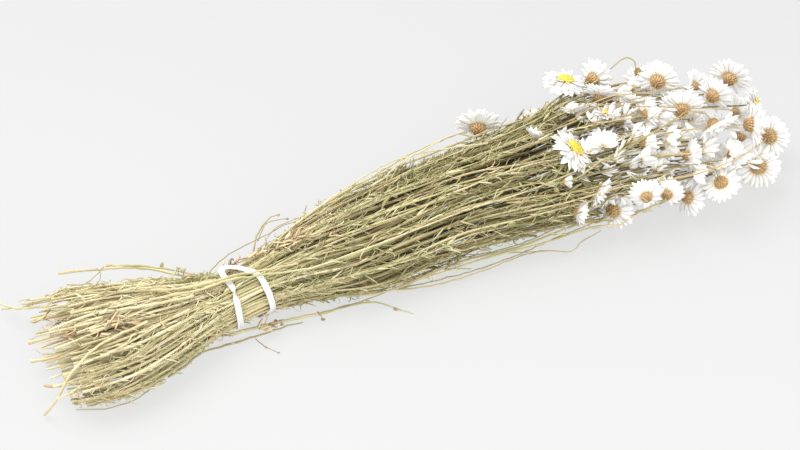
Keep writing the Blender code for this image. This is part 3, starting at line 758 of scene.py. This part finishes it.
def curled_leaf(draw, half_width, early, late, twist):
    """A narrow three-sided blade along +X, tapered, curled and twisted."""
    bpy.ops.mesh.primitive_cylinder_add(vertices=3, radius=1, depth=1, rotation=(0, math.pi / 2, 0))
    leaf = bpy.context.object
    bpy.ops.object.transform_apply(location=True, rotation=True, scale=True)
    bpy.ops.object.mode_set(mode="EDIT")
    for cut in range(1, LEAF_RINGS):
        bpy.ops.mesh.select_all(action="SELECT")
        place = cut / LEAF_RINGS - 0.5
        bpy.ops.mesh.bisect(plane_co=(place, 0, 0), plane_no=(1, 0, 0))
    bpy.ops.object.mode_set(mode="OBJECT")
    early = math.radians(draw.uniform(-early, early))
    late = math.radians(draw.choice((-1, 1)) * draw.uniform(*LATE_CURLS) * late)
    twist = math.radians(draw.uniform(-twist, twist))
    line = [Vector((0, 0, 0))]
    for step in range(LEAF_STEPS):
        s = step / LEAF_STEPS
        angle = early * s + late * s**3
        line.append(line[-1] + Vector((math.cos(angle), 0, math.sin(angle))) / LEAF_STEPS)
    for vertex in leaf.data.vertices:
        s = vertex.co.x + 0.5
        width = half_width * read_table(LEAF_TAPER, s)
        turn = spin("X", twist * s, 3)
        side = turn @ Vector((0, vertex.co.y * width, vertex.co.z * width * LEAF_THICKNESS))
        lean = spin("Y", -(early * s + late * s**3), 3)
        vertex.co = line[round(s * LEAF_STEPS)] * LEAF_LENGTH + lean @ side
    return take(leaf, lambda p: (p[1], p[0]))


def lowest(shape, placing):
    """How low a copy would reach."""
    row = np.array(placing)[2]
    return (shape.points @ row[:3]).min() + row[3]


def outward(point):
    """The way out of the bunch at a point of its cross-section."""
    middle, high, width, height = section(point[0])
    return Vector((0, (point[1] - middle) / width**2, (point[2] - high) / height**2)).normalized()


def leaf_placings(stems, shapes, draw):
    """Where the leaves grow: on the outer stems, thick between the tie and the heads."""
    skins = [depth_share(stem.points) for stem in stems]
    first = np.cumsum([0] + [row[0] for row in LEAF_KINDS])
    placings = []
    while len(placings) < LEAVES:
        k = draw.randrange(len(stems))
        stem = stems[k]
        step = draw.randrange(len(stem.points) - 1)
        start, end = stem.points[step], stem.points[step + 1]
        root = start + (end - start) * draw.random()
        fan = root[0] < LEAFY[0]
        far = (root[0] - THINNING_FROM) / (LEAFY[1] - THINNING_FROM)
        if draw.random() < far:
            continue
        if abs(root[0] - TIE_X) < BARE_TIE or (not fan and draw.random() > MID_LEAVES):
            continue
        if not LEAF_SKIN < skins[k][step] < FAR_OUT:
            continue
        kind = draw.choices(range(len(LEAF_KINDS)), LEAF_DRAW)[0]
        number = draw.randrange(first[kind], first[kind + 1])
        out = outward(root)
        turn = Vector(end - start).normalized().to_track_quat("X", "Z").to_matrix()
        angles = [draw.uniform(0, math.tau) for _ in range(LEAF_TRIES)]
        turns = [turn @ spin("X", angle, 3) for angle in angles]
        turn = min(turns, key=lambda way: abs(way.col[2].dot(out) - LEAF_RISE))
        turn = turn @ spin("Y", -math.radians(draw.uniform(*LEAF_LEAN)), 3)
        turn = turn @ spin("X", draw.uniform(0, math.tau), 3)
        if draw.random() < LEAF_BACKWARDS:
            turn = turn @ spin("Z", math.pi, 3)
        smaller = FAN_SCALE if fan else 1 - FAR_SHRINK * min(max(far, 0), 1)
        placing = (turn * (draw.uniform(*LEAF_SCALES) * smaller)).to_4x4()
        placing.translation = Vector(root) + out * LEAF_OFF
        # A leaf takes part of its stem's tint, and with it part of the painted shade deep in the bunch
        tint = LIKE_ITS_STEM * stem.tints[step] + LEAF_TINTS * draw.random() + (FAN_PALE if fan else 0)
        if draw.random() < WITHERED:
            tint = WITHERED_TINT + draw.random()
        if lowest(shapes[number], placing) > LEAF_CLEAR:
            placings.append((number, placing, tint))
    return placings


def tuft_placings(shapes, draw):
    """Withered leaves that hang together."""
    placings = []
    for middle, apart, count in TUFTS:
        for _ in range(count):
            turn = spin("Z", draw.uniform(-TUFT_TURN, TUFT_TURN), 3)
            turn = turn @ spin("Y", draw.uniform(-TUFT_TIP, TUFT_TIP), 3)
            turn = turn @ spin("X", draw.uniform(0, math.tau), 3)
            placing = (turn * draw.uniform(*TUFT_SCALES)).to_4x4()
            spread = [draw.gauss(0, apart * share) for share in TUFT_SPREAD]
            placing.translation = Vector(middle) + Vector(spread)
            number = draw.randrange(*TUFT_SHAPES)
            if lowest(shapes[number], placing) > LEAF_CLEAR:
                placings.append((number, placing, WITHERED_TINT + draw.random()))
    return placings


LEAF_TONES = ((0.0, 80, 76, 48), (0.3, 142, 137, 92), (0.65, 200, 192, 144), (1.0, 230, 222, 184))
WITHERED_TONES = ((0.0, 130, 112, 86), (0.5, 198, 174, 136), (1.0, 230, 211, 174))


def dry_leaf(grain):
    """Olive to pale straw, and brown where the tint says that the leaf has withered."""
    tint = grain.part(2)
    mottle = grain.noise((0.9, 0.4, 7.0))
    fresh = (tint * 0.75 + mottle * 0.6 - 0.16).ramp(LEAF_TONES)
    brown = (tint * 0.8 + mottle * 0.5 - 1.75).ramp(WITHERED_TONES)
    colour = fresh.mix(brown, tint.math("GREATER_THAN", tint, 1.6))
    return colour, mottle


draw = Random(11)
leaf_shapes = [curled_leaf(draw, *row[1:]) for row in LEAF_KINDS for _ in range(row[0])]
placings = leaf_placings(stems, leaf_shapes, draw)
leaf_finish = make_finish(dry_leaf, 0.75, 0.1)
half = len(placings) // 2
tufts = tuft_placings(leaf_shapes, draw)
for name, part in (
    ("leaves_1", placings[:half]),
    ("leaves_2", placings[half:]),
    ("withered_tufts", tufts),
):
    leaves = copies(name, leaf_shapes, part, leaf_finish)
    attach(leaves, "root")


# Tie band. One closed white elastic strip, laid double and wound once round the stems, with its
# hairpin end standing up at the back and one leg twisted over where it comes out.
BAND_WIDTH = 3.9
BAND_THICKNESS = 1.2
BAND_STEPS = 64
BAND_SPREAD = 9.5
BAND_FROM = 64
BAND_TURN = 292
BAND_LOOP_RISE = 4.0
BAND_LOOP_SHARE = 0.06
BAND_HAIRPIN = 0.7
BAND_OFF = 1.4
BAND_LEAN = 7.0
BAND_LEAN_SHARE = 0.09
BAND_WIDE = 13.0
BAND_HOOK = 7.0
BAND_HOOK_FROM = 0.42
BAND_HOOK_OVER = 0.1
BAND_PROFILE = ((1.0, 0.35), (0.86, 0.86), (0.5, 1.0), (0.16, 0.9))  # a quarter of its section
BAND_CURL = (0.1, 0.24)
BAND_WAVES = 0.12
BAND_WAVE_STEP = 0.9
BAND_TONES = ((0.3, 206, 203, 196), (0.6, 234, 233, 229))


def band_line():
    """The middle of the strip, and the way it faces, at each step round it."""
    centres, ways, runs = [], [], []
    steps = 2 * BAND_STEPS
    for k in range(steps):
        turn = math.tau * k / steps
        run = 0.5 - 0.5 * math.cos(turn)
        angle = math.radians(BAND_FROM + BAND_TURN * run)
        apart = math.copysign(abs(math.sin(turn)) ** BAND_HAIRPIN, math.sin(turn))
        x = TIE_X - (BAND_SPREAD if apart > 0 else BAND_WIDE) * apart
        x = x - BAND_LEAN * math.exp(-((run / BAND_LEAN_SHARE) ** 2))
        if apart < 0:
            x = x - BAND_HOOK * min(max((run - BAND_HOOK_FROM) / BAND_HOOK_OVER, 0), 1)
        m, h, w, t = section(x - math.copysign(BAND_WIDTH / 2, apart))
        rise = BAND_LOOP_RISE * math.exp(-((run / BAND_LOOP_SHARE) ** 2))
        off = BAND_OFF + BAND_THICKNESS / 2 + rise + BAND_WAVES * math.sin(k * BAND_WAVE_STEP)
        w = w * TIE_FILL + off
        t = t * TIE_FILL + off
        centres.append(np.array((x, m + w * math.cos(angle), h + t * math.sin(angle))))
        ways.append(np.array((0.0, math.cos(angle) / w, math.sin(angle) / t)))
        runs.append(run if apart > 0 else -run)
    return centres, ways, runs


def tie_band(finish):
    """The strip with its rounded section, closed on itself."""
    top = [*BAND_PROFILE, *[(-a, b) for a, b in reversed(BAND_PROFILE)]]
    profile = top + [(a, -b) for a, b in reversed(top)]
    centres, ways, runs = band_line()
    points, faces, grain = [], [], []
    steps, sides = len(centres), len(profile)
    along = 0.0
    for k in range(steps):
        step = centres[(k + 1) % steps] - centres[k - 1]
        along += np.linalg.norm(step) / 2
        step = step / np.linalg.norm(step)
        out = ways[k] - step * (ways[k] @ step)
        out = out / np.linalg.norm(out)
        across = np.cross(out, step)
        share = np.clip((runs[k] - BAND_CURL[0]) / (BAND_CURL[1] - BAND_CURL[0]), 0, 1)
        curl = math.pi * share * share * (3 - 2 * share)
        wide = across * math.cos(curl) + out * math.sin(curl)
        thick = np.cross(step, wide)
        for a, b in profile:
            points.append(centres[k] + wide * a * BAND_WIDTH / 2 + thick * b * BAND_THICKNESS / 2)
            grain.append((a * BAND_WIDTH / 2, along, 0.5))
        start, after = sides * k, sides * ((k + 1) % steps)
        for a in range(sides):
            b = (a + 1) % sides
            faces.append((start + a, start + b, after + b, after + a))
    band = mesh_piece("tie_band", np.array(points), faces, grain, finish)
    bpy.context.view_layer.objects.active = band
    band.select_set(True)
    bpy.ops.object.mode_set(mode="EDIT")
    bpy.ops.mesh.select_all(action="SELECT")
    bpy.ops.mesh.normals_make_consistent(inside=False)
    bpy.ops.object.mode_set(mode="OBJECT")
    band.select_set(False)
    return band


def white_elastic(grain):
    """Slightly mottled white with fine ribs along the strip."""
    rib = grain.noise((2.6, 0.02, 0), 2.0)
    colour = grain.noise((0.4, 0.12, 0)).ramp(BAND_TONES)
    return colour, rib


band = tie_band(make_finish(white_elastic, 0.42, 0.15))
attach(band, "root")
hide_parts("band")


# Heads. Each is a scaly tan cup at the end of its stem, four rings of stiff white papery petals,
# and a flat dome of tiny yellow florets. A few petals and scales and one floret are modelled and
# copied round each head, at the place, facing and openness of its solid.
PETAL_SHAPES = 8
PETAL_LENGTH = 9.0
PETAL_WIDTH = 3.7
PETAL_THICKNESS = 0.14
PETAL_CUP = (0.1, 0.3)
PETAL_CURL = (-0.16, 0.12)
PETAL_LATE_CURL = (-0.12, 0.1)
PETAL_BEND = 0.1
PETAL_TWIST = 14
PETAL_OUTLINE = ((0, 0.45), (0.2, 0.66), (0.4, 0.94), (0.6, 1.0), (0.8, 0.66), (1, 0.03))
PETAL_REACH = 1.25
SMALL_HEAD = 11
SMALL_REACH = 1.36
LONGEST_PETAL = 0.76
PETAL_CLEAR = 0.2
PETAL_SHIFT = 0.25
PETAL_LIFTS = 7
PETAL_SCALES = (0.88, 1.06)
RINGS = (  # petals in the ring, root radius, root height, length, extra lift in degrees
    (20, 0.37, -0.13, 1.08, -8),
    (18, 0.38, -0.08, 1.0, 2),
    (15, 0.36, -0.03, 0.88, 12),
    (10, 0.34, 0.02, 0.66, 26),
)


def petal(draw):
    """A pointed papery petal along +X, hollowed along its middle and slightly curled."""
    bpy.ops.mesh.primitive_grid_add(x_subdivisions=5, y_subdivisions=2, size=1)
    made = bpy.context.object
    cup = draw.uniform(*PETAL_CUP)
    curl = draw.uniform(*PETAL_CURL)
    late_curl = draw.uniform(*PETAL_LATE_CURL)
    bend = draw.uniform(-PETAL_BEND, PETAL_BEND)
    twist = math.radians(draw.uniform(-PETAL_TWIST, PETAL_TWIST))
    for vertex in made.data.vertices:
        s = vertex.co.x + 0.5
        u = vertex.co.y * 2
        half = PETAL_WIDTH / 2 * read_table(PETAL_OUTLINE, s)
        side = Vector((0, u * half, cup * u * u * half))
        side = spin("X", twist * s, 3) @ side
        rise = curl * s * s + late_curl * s**4
        vertex.co = side + Vector((s, bend * s * s, rise)) * PETAL_LENGTH
    wall = made.modifiers.new("wall", "SOLIDIFY")
    wall.thickness = PETAL_THICKNESS
    wall.offset = 0
    bpy.ops.object.modifier_apply(modifier=wall.name)
    return take(made, lambda p: (p[1], p[0]))


def move(x, y, z):
    """A shift, as a matrix."""
    return Matrix.Translation((x, y, z))


def head_matrix(head):
    """From a head's own axes, with +Z out of its face, to the bunch's."""
    placing = Vector(head.facing).to_track_quat("Z", "Y").to_matrix().to_4x4()
    placing.translation = head.root
    return placing


def petal_placings(head, shapes, draw):
    """A head's rings of petals, the outer ones lying lower and longer."""
    placings = []
    lift = head.lift
    reach = SMALL_REACH if head.radius < SMALL_HEAD else PETAL_REACH
    reach = head.radius * min((1 - CUP_RIM) / math.cos(lift), LONGEST_PETAL) * reach
    for count, root, height, length, steeper in RINGS:
        first = draw.random()
        for k in range(count):
            angle = math.tau * (k + first + draw.uniform(-PETAL_SHIFT, PETAL_SHIFT)) / count
            rise = lift + math.radians(steeper + draw.uniform(-PETAL_LIFTS, PETAL_LIFTS))
            turn = spin("Z", angle) @ move(root * head.radius, 0, height * head.radius)
            turn = turn @ spin("Y", -rise)
            turn = turn @ spin("X", math.radians(draw.uniform(-PETAL_TWIST, PETAL_TWIST)))
            scale = reach * length * draw.uniform(*PETAL_SCALES) / PETAL_LENGTH
            placing = head_matrix(head) @ turn @ Matrix.Scale(scale, 4)
            number = draw.randrange(PETAL_SHAPES)
            if lowest(shapes[number], placing) > PETAL_CLEAR:
                placings.append((number, placing, draw.random()))
    return placings


# A faint glow is painted light: it stands for the light that shines through a petal, and it lifts the
# shade between the petals
PETAL_GLOW = {"Emission Color": (1, 0.99, 0.97, 1), "Emission Strength": 0.12}
PETAL_TONES = ((0.0, 206, 178, 134), (0.1, 218, 202, 170), (0.2, 224, 219, 208), (0.36, 226, 225, 222))


def papery_petal(grain):
    """White with fine veins, tan at the foot."""
    vein = grain.noise((3.4, 0.12, 5))
    shade = grain.part(1) * (1 / PETAL_LENGTH) + vein * 0.3 - 0.14
    return shade.ramp(PETAL_TONES), vein


SCALE_SHAPES = 4
SCALE_LENGTH = 2.2
SCALE_WIDTH = 1.5
SCALE_THICKNESS = 0.16
CUP_PROFILE = (  # radius and height, in shares of the head's radius
    (0.05, -0.52), (0.17, -0.49), (0.25, -0.42), (0.3, -0.32), (0.325, -0.2), (0.335, -0.11),
    (0.27, -0.04),
)
SCALE_ROWS = (  # scales in the row, place along the cup's profile, scale size
    (6, 0.4, 0.75),
    (9, 0.9, 0.8),
    (12, 1.5, 0.9),
    (14, 2.2, 0.95),
    (15, 3.0, 1.0),
    (16, 3.8, 1.05),
    (16, 4.6, 1.1),
)
CUP_SIDES = 16
CUP_BASE = 0.02
CUP_TINT = 0.05
ROW_TINT = 0.13
SCALE_TINTS = (0, 0.25)
SCALE_SHIFT = 0.15
SCALE_SIZES = (0.85, 1.1)
SLOPE_STEP = 0.3
SCALE_TIPS = (-0.1, 0.25)
SCALE_LIFTS = (3, 14)
SCALES_FOR = 12


def cup_scale(draw):
    """A small flat pointed scale along +X, a five-sided chip drawn out to its tip."""
    bpy.ops.mesh.primitive_cylinder_add(vertices=5, radius=0.5, depth=SCALE_THICKNESS)
    made = bpy.context.object
    tip = draw.uniform(*SCALE_TIPS)
    for vertex in made.data.vertices:
        share = vertex.co.y + 0.5
        side = vertex.co.x * SCALE_WIDTH
        vertex.co = Vector((share * SCALE_LENGTH, -side, vertex.co.z + tip * share * share))
    return take(made, lambda p: (p[1], p[0]))


def is_top(face):
    """Whether a face of an upright cylinder is its top."""
    return face.normal.z > 0.9


def cup_body():
    """The closed cup that the scales grow on, for a head of radius 1."""
    bpy.ops.mesh.primitive_cylinder_add(vertices=CUP_SIDES, radius=CUP_PROFILE[0][0], depth=CUP_BASE)
    made = bpy.context.object
    edit_faces(made, is_top)
    for (near, low), (far, high) in zip(CUP_PROFILE, CUP_PROFILE[1:]):
        bpy.ops.mesh.extrude_region_move(TRANSFORM_OT_translate={"value": (0, 0, high - low)})
        bpy.ops.transform.resize(value=(far / near, far / near, 1))
    bpy.ops.object.mode_set(mode="OBJECT")
    for vertex in made.data.vertices:
        vertex.co.z += CUP_PROFILE[0][1] - CUP_BASE / 2
    return take(made, lambda p: (0, 0))


def cup_placings(head, draw):
    """The cup's body and its rows of scales, which lie along it and point to its rim."""
    placings = [(SCALE_SHAPES, head_matrix(head) @ Matrix.Scale(head.radius, 4), CUP_TINT)]
    profile = np.array(CUP_PROFILE).T
    steps = np.arange(len(CUP_PROFILE))
    for row, (count, place, size) in enumerate(SCALE_ROWS):
        radius, height = (np.interp(place, steps, side) * head.radius for side in profile)
        after = [np.interp(place + SLOPE_STEP, steps, side) * head.radius for side in profile]
        slope = math.atan2(after[1] - height, after[0] - radius)
        first = draw.random()
        for k in range(count):
            angle = math.tau * (k + first + draw.uniform(-SCALE_SHIFT, SCALE_SHIFT)) / count
            turn = spin("Z", angle) @ move(radius, 0, height)
            turn = turn @ spin("Y", -slope) @ spin("X", math.pi)
            turn = turn @ spin("Y", -math.radians(draw.uniform(*SCALE_LIFTS)))
            scale = size * draw.uniform(*SCALE_SIZES) * head.radius / SCALES_FOR
            turn = turn @ Matrix.Scale(scale, 4)
            tint = ROW_TINT * row + draw.uniform(*SCALE_TINTS)
            placings.append((draw.randrange(SCALE_SHAPES), head_matrix(head) @ turn, tint))
    return placings


CUP_TONES = ((0.0, 146, 112, 74), (0.35, 186, 150, 102), (0.7, 212, 180, 132), (1.0, 234, 214, 174))


def tan_cup(grain):
    """Tan to cream, lighter in the rows nearer the rim and towards each scale's tip."""
    fleck = grain.noise((1.6, 1.6, 9.0))
    shade = grain.part(2) * 0.45 + grain.part(1) * 0.2 + fleck * 0.5 - 0.26
    return shade.ramp(CUP_TONES), fleck


FLORETS = 80
FLORETS_FOR = 13
FEWEST_FLORETS = 26
FLORET_RADIUS = 0.5
FLORET_HEIGHT = 1.3
FLORET_FOOT = 0.7
FLORET_FLARE = 1.45
FLORET_RIM = 0.35
FLORET_DEPTH = 0.25
FLORET_LEAN = 0.5
FLORET_SIZES = (0.85, 1.1)
FLORET_TINTS = 0.2
DISC_RADIUS = 0.38
DISC_FLOOR = 0.03
DISC_RISE = 0.13


def floret():
    """A tiny five-sided trumpet along +Z, with a hollow in its top."""
    foot = FLORET_RADIUS * FLORET_FOOT
    bpy.ops.mesh.primitive_cylinder_add(vertices=5, radius=foot, depth=FLORET_HEIGHT)
    made = bpy.context.object
    edit_faces(made, is_top)
    bpy.ops.transform.resize(value=(FLORET_FLARE, FLORET_FLARE, 1))
    bpy.ops.mesh.inset(thickness=FLORET_RADIUS * FLORET_RIM)
    bpy.ops.transform.translate(value=(0, 0, -FLORET_HEIGHT * FLORET_DEPTH))
    bpy.ops.object.mode_set(mode="OBJECT")
    return take(made, lambda p: (p[2], math.hypot(p[0], p[1])))


def floret_placings(head, draw):
    """Florets in a spiral over a low dome."""
    placings = []
    count = max(FEWEST_FLORETS, round(FLORETS * (head.radius / FLORETS_FOR) ** 2))
    for k in range(count):
        share = math.sqrt((k + 0.5) / count)
        angle = k * GOLDEN_ANGLE
        out = DISC_RADIUS * head.radius * share
        up = head.radius * (DISC_FLOOR + DISC_RISE * (1 - share**2))
        turn = spin("Z", angle) @ move(out, 0, up)
        turn = turn @ spin("Y", FLORET_LEAN * share)
        turn = turn @ Matrix.Scale(draw.uniform(*FLORET_SIZES), 4)
        tint = share + draw.uniform(-FLORET_TINTS, FLORET_TINTS)
        placings.append((0, head_matrix(head) @ turn, tint))
    return placings


FLORET_TONES = ((0.0, 204, 170, 46), (0.35, 230, 206, 64), (1.0, 243, 231, 110))


def yellow_florets(grain):
    """Deep yellow, lighter at the top of each floret and towards the edge of the disc."""
    shade = grain.part(0) * 0.5 + grain.part(2) * 0.5 + 0.25
    return shade.ramp(FLORET_TONES), None


draw = Random(17)
petal_shapes = [petal(draw) for _ in range(PETAL_SHAPES)]
scale_shapes = [cup_scale(draw) for _ in range(SCALE_SHAPES)] + [cup_body()]
floret_shapes = [floret()]
petal_finish = make_finish(papery_petal, 0.5, 0.12, **PETAL_GLOW)
cup_finish = make_finish(tan_cup, 0.6, 0.12)
floret_finish = make_finish(yellow_florets, 0.7)
for head in heads:
    bloom = "bloom_" + head.name
    petals = petal_placings(head, petal_shapes, draw)
    scales = cup_placings(head, draw)
    florets = floret_placings(head, draw)
    for kind, shapes, placings, finish, slot, node in (
        ("petals_", petal_shapes, petals, petal_finish, "petals", bloom),
        ("cup_", scale_shapes, scales, cup_finish, "petals", bloom),
        ("florets_", floret_shapes, florets, floret_finish, "disc", "disc_" + head.name),
    ):
        piece = copies(kind + head.name, shapes, placings, finish)
        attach(piece, "root")
        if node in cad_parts:
            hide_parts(node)


# Shed petals. Loose fans of the same papery petals, caught among the stems under the heads, and
# half a head beside the front flower. Nothing holds them but the stems round them.
SHED_FANS = 112
SHED_PETALS = 7
SHED_SPAN = (96, 226, 160)
SHED_PLACES = (0.4, 0.96)
SHED_SIDES = (40, 190)
SHED_TURN = 0.55
SHED_TIP = 0.35
SHED_APART = 0.24
SHED_SCALES = (0.75, 1.2)
SHED_CURL = 0.25
SHED_SHIFT = 0.1
SHED_OUT = 2
HALF_HEAD = (122.5, -18, 59.5)
HALF_HEAD_UP = (0.3, 0.7, 0.64)
HALF_HEAD_FACING = (-0.3, -0.5, 0.8)
HALF_HEAD_OUT = 1
HALF_HEAD_PETALS = 15
HALF_HEAD_APART = 0.19
HALF_HEAD_SCALES = (1.02, 1.22)


def half_head_placings(draw):
    """The half of a head that shows beside the front flower, as a fan of petals."""
    placings = []
    for k in range(HALF_HEAD_PETALS):
        turn = spin(HALF_HEAD_FACING, (k - (HALF_HEAD_PETALS - 1) / 2) * HALF_HEAD_APART)
        turn = turn @ Vector(HALF_HEAD_UP).to_track_quat("X", "Z").to_matrix().to_4x4()
        turn = turn @ spin("Y", draw.uniform(-SHED_CURL, SHED_CURL))
        turn = turn @ move(HALF_HEAD_OUT, 0, 0)
        turn = turn @ Matrix.Scale(draw.uniform(*HALF_HEAD_SCALES), 4)
        number = draw.randrange(PETAL_SHAPES)
        placings.append((number, move(*HALF_HEAD) @ turn, draw.random()))
    return placings


def shed_placings(shapes, draw):
    """Small fans of petals caught among the stems under the heads."""
    placings = []
    for _ in range(SHED_FANS):
        x = draw.triangular(*SHED_SPAN)
        middle, high, width, height = section(x)
        side = math.radians(draw.uniform(*SHED_SIDES))
        out, up = polar(math.sqrt(draw.uniform(*SHED_PLACES)), side)
        fan = move(x, middle + out * width, high + up * height)
        fan = fan @ spin("Z", draw.gauss(0, SHED_TURN)) @ spin("Y", draw.gauss(0, SHED_TIP))
        fan = fan @ spin("X", draw.uniform(0, math.tau))
        for k in range(SHED_PETALS):
            angle = (k - SHED_PETALS / 2) * SHED_APART
            turn = spin("Z", angle + draw.uniform(-SHED_SHIFT, SHED_SHIFT))
            turn = turn @ spin("Y", draw.uniform(-SHED_CURL, SHED_CURL))
            turn = turn @ move(SHED_OUT, 0, 0) @ Matrix.Scale(draw.uniform(*SHED_SCALES), 4)
            number = draw.randrange(PETAL_SHAPES)
            if lowest(shapes[number], fan @ turn) > PETAL_CLEAR:
                placings.append((number, fan @ turn, draw.random()))
    return placings


placings = half_head_placings(draw) + shed_placings(petal_shapes, draw)
shed = copies("shed_petals", petal_shapes, placings, petal_finish)
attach(shed, "root")


# Floor, light and camera. A plain pale floor under broad soft light from above. The floor itself is dark
# grey:
# its paleness is painted light, a glow that softens the shadows on it and fades a little towards the
# back.
FLOOR_SIZE = 4.0
FLOOR_GREY = 0.12
FLOOR_ROUGHNESS = 0.9
FLOOR_GLOW = 0.68
GLOW_WAY = (0.29, 0.71, 0)  # the glow fades a little this way, over this span of metres
GLOW_SPAN = (-0.2, 0.3)
GLOW_LOSS = 0.14
ROOM_LIGHT = 0.85
LAMPS = (  # name, place in metres, size in metres, power in watts
    ("key_light", (-0.5, 0.5, 1.4), 1.2, 25),
    ("fill_light", (0.3, -1.0, 0.8), 1.5, 11),
)

bpy.ops.mesh.primitive_plane_add(size=FLOOR_SIZE)
floor = bpy.context.object
floor.name = "floor"
# The floor's finish: dark grey, with a painted glow that makes it pale and softens the shadows on it
floor_finish = bpy.data.materials.new("floor_painted_glow")
floor_finish.use_nodes = True
floor_sockets = floor_finish.node_tree.nodes["Principled BSDF"].inputs
floor_sockets["Base Color"].default_value = (FLOOR_GREY, FLOOR_GREY, FLOOR_GREY, 1)
floor_sockets["Emission Strength"].default_value = FLOOR_GLOW
floor_sockets["Roughness"].default_value = FLOOR_ROUGHNESS
ground = Link(floor_sockets[0]).node("TexCoord", {}, output="Object")
away = ground.node("VectorMath", {0: ground, 1: GLOW_WAY}, output="Value", operation="DOT_PRODUCT")
glow = 1.0 - away.between(*GLOW_SPAN) * GLOW_LOSS
floor_finish.node_tree.links.new(glow.socket, floor_sockets["Emission Color"])
floor.data.materials.append(floor_finish)
floor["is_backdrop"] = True

world = bpy.data.worlds.new("studio")
world.use_nodes = True
background = world.node_tree.nodes["Background"].inputs
background["Color"].default_value = (1, 1, 1, 1)
background["Strength"].default_value = ROOM_LIGHT
bpy.context.scene.world = world
bpy.context.scene.view_settings.view_transform = "Standard"

for name, place, size, power in LAMPS:
    bpy.ops.object.light_add(type="AREA", location=place)
    lamp = bpy.context.object
    lamp.name = name
    lamp.data.size = size
    lamp.data.energy = power
    lamp.rotation_euler = (-Vector(place)).to_track_quat("-Z", "Y").to_euler()

# The camera looks down on the bunch from its front, a little from the cut ends' side, as the
# photograph does, with the bunch across the whole picture.
ELEVATION = 50.0
AZIMUTH = -22.5
DISTANCE = 0.99556
AIM = Vector((-0.00827, 0.00202, 0.02))
LENS = 70

bpy.ops.object.camera_add(rotation=(math.radians(90 - ELEVATION), 0, math.radians(AZIMUTH)))
camera = bpy.context.object
camera.location = AIM + camera.rotation_euler.to_matrix() @ Vector((0, 0, DISTANCE))
camera.data.lens = LENS
bpy.context.scene.camera = camera

boxes = {"solids": solid_box, "dressed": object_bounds()}
boxes = {name: [list(corner) for corner in box] for name, box in boxes.items()}
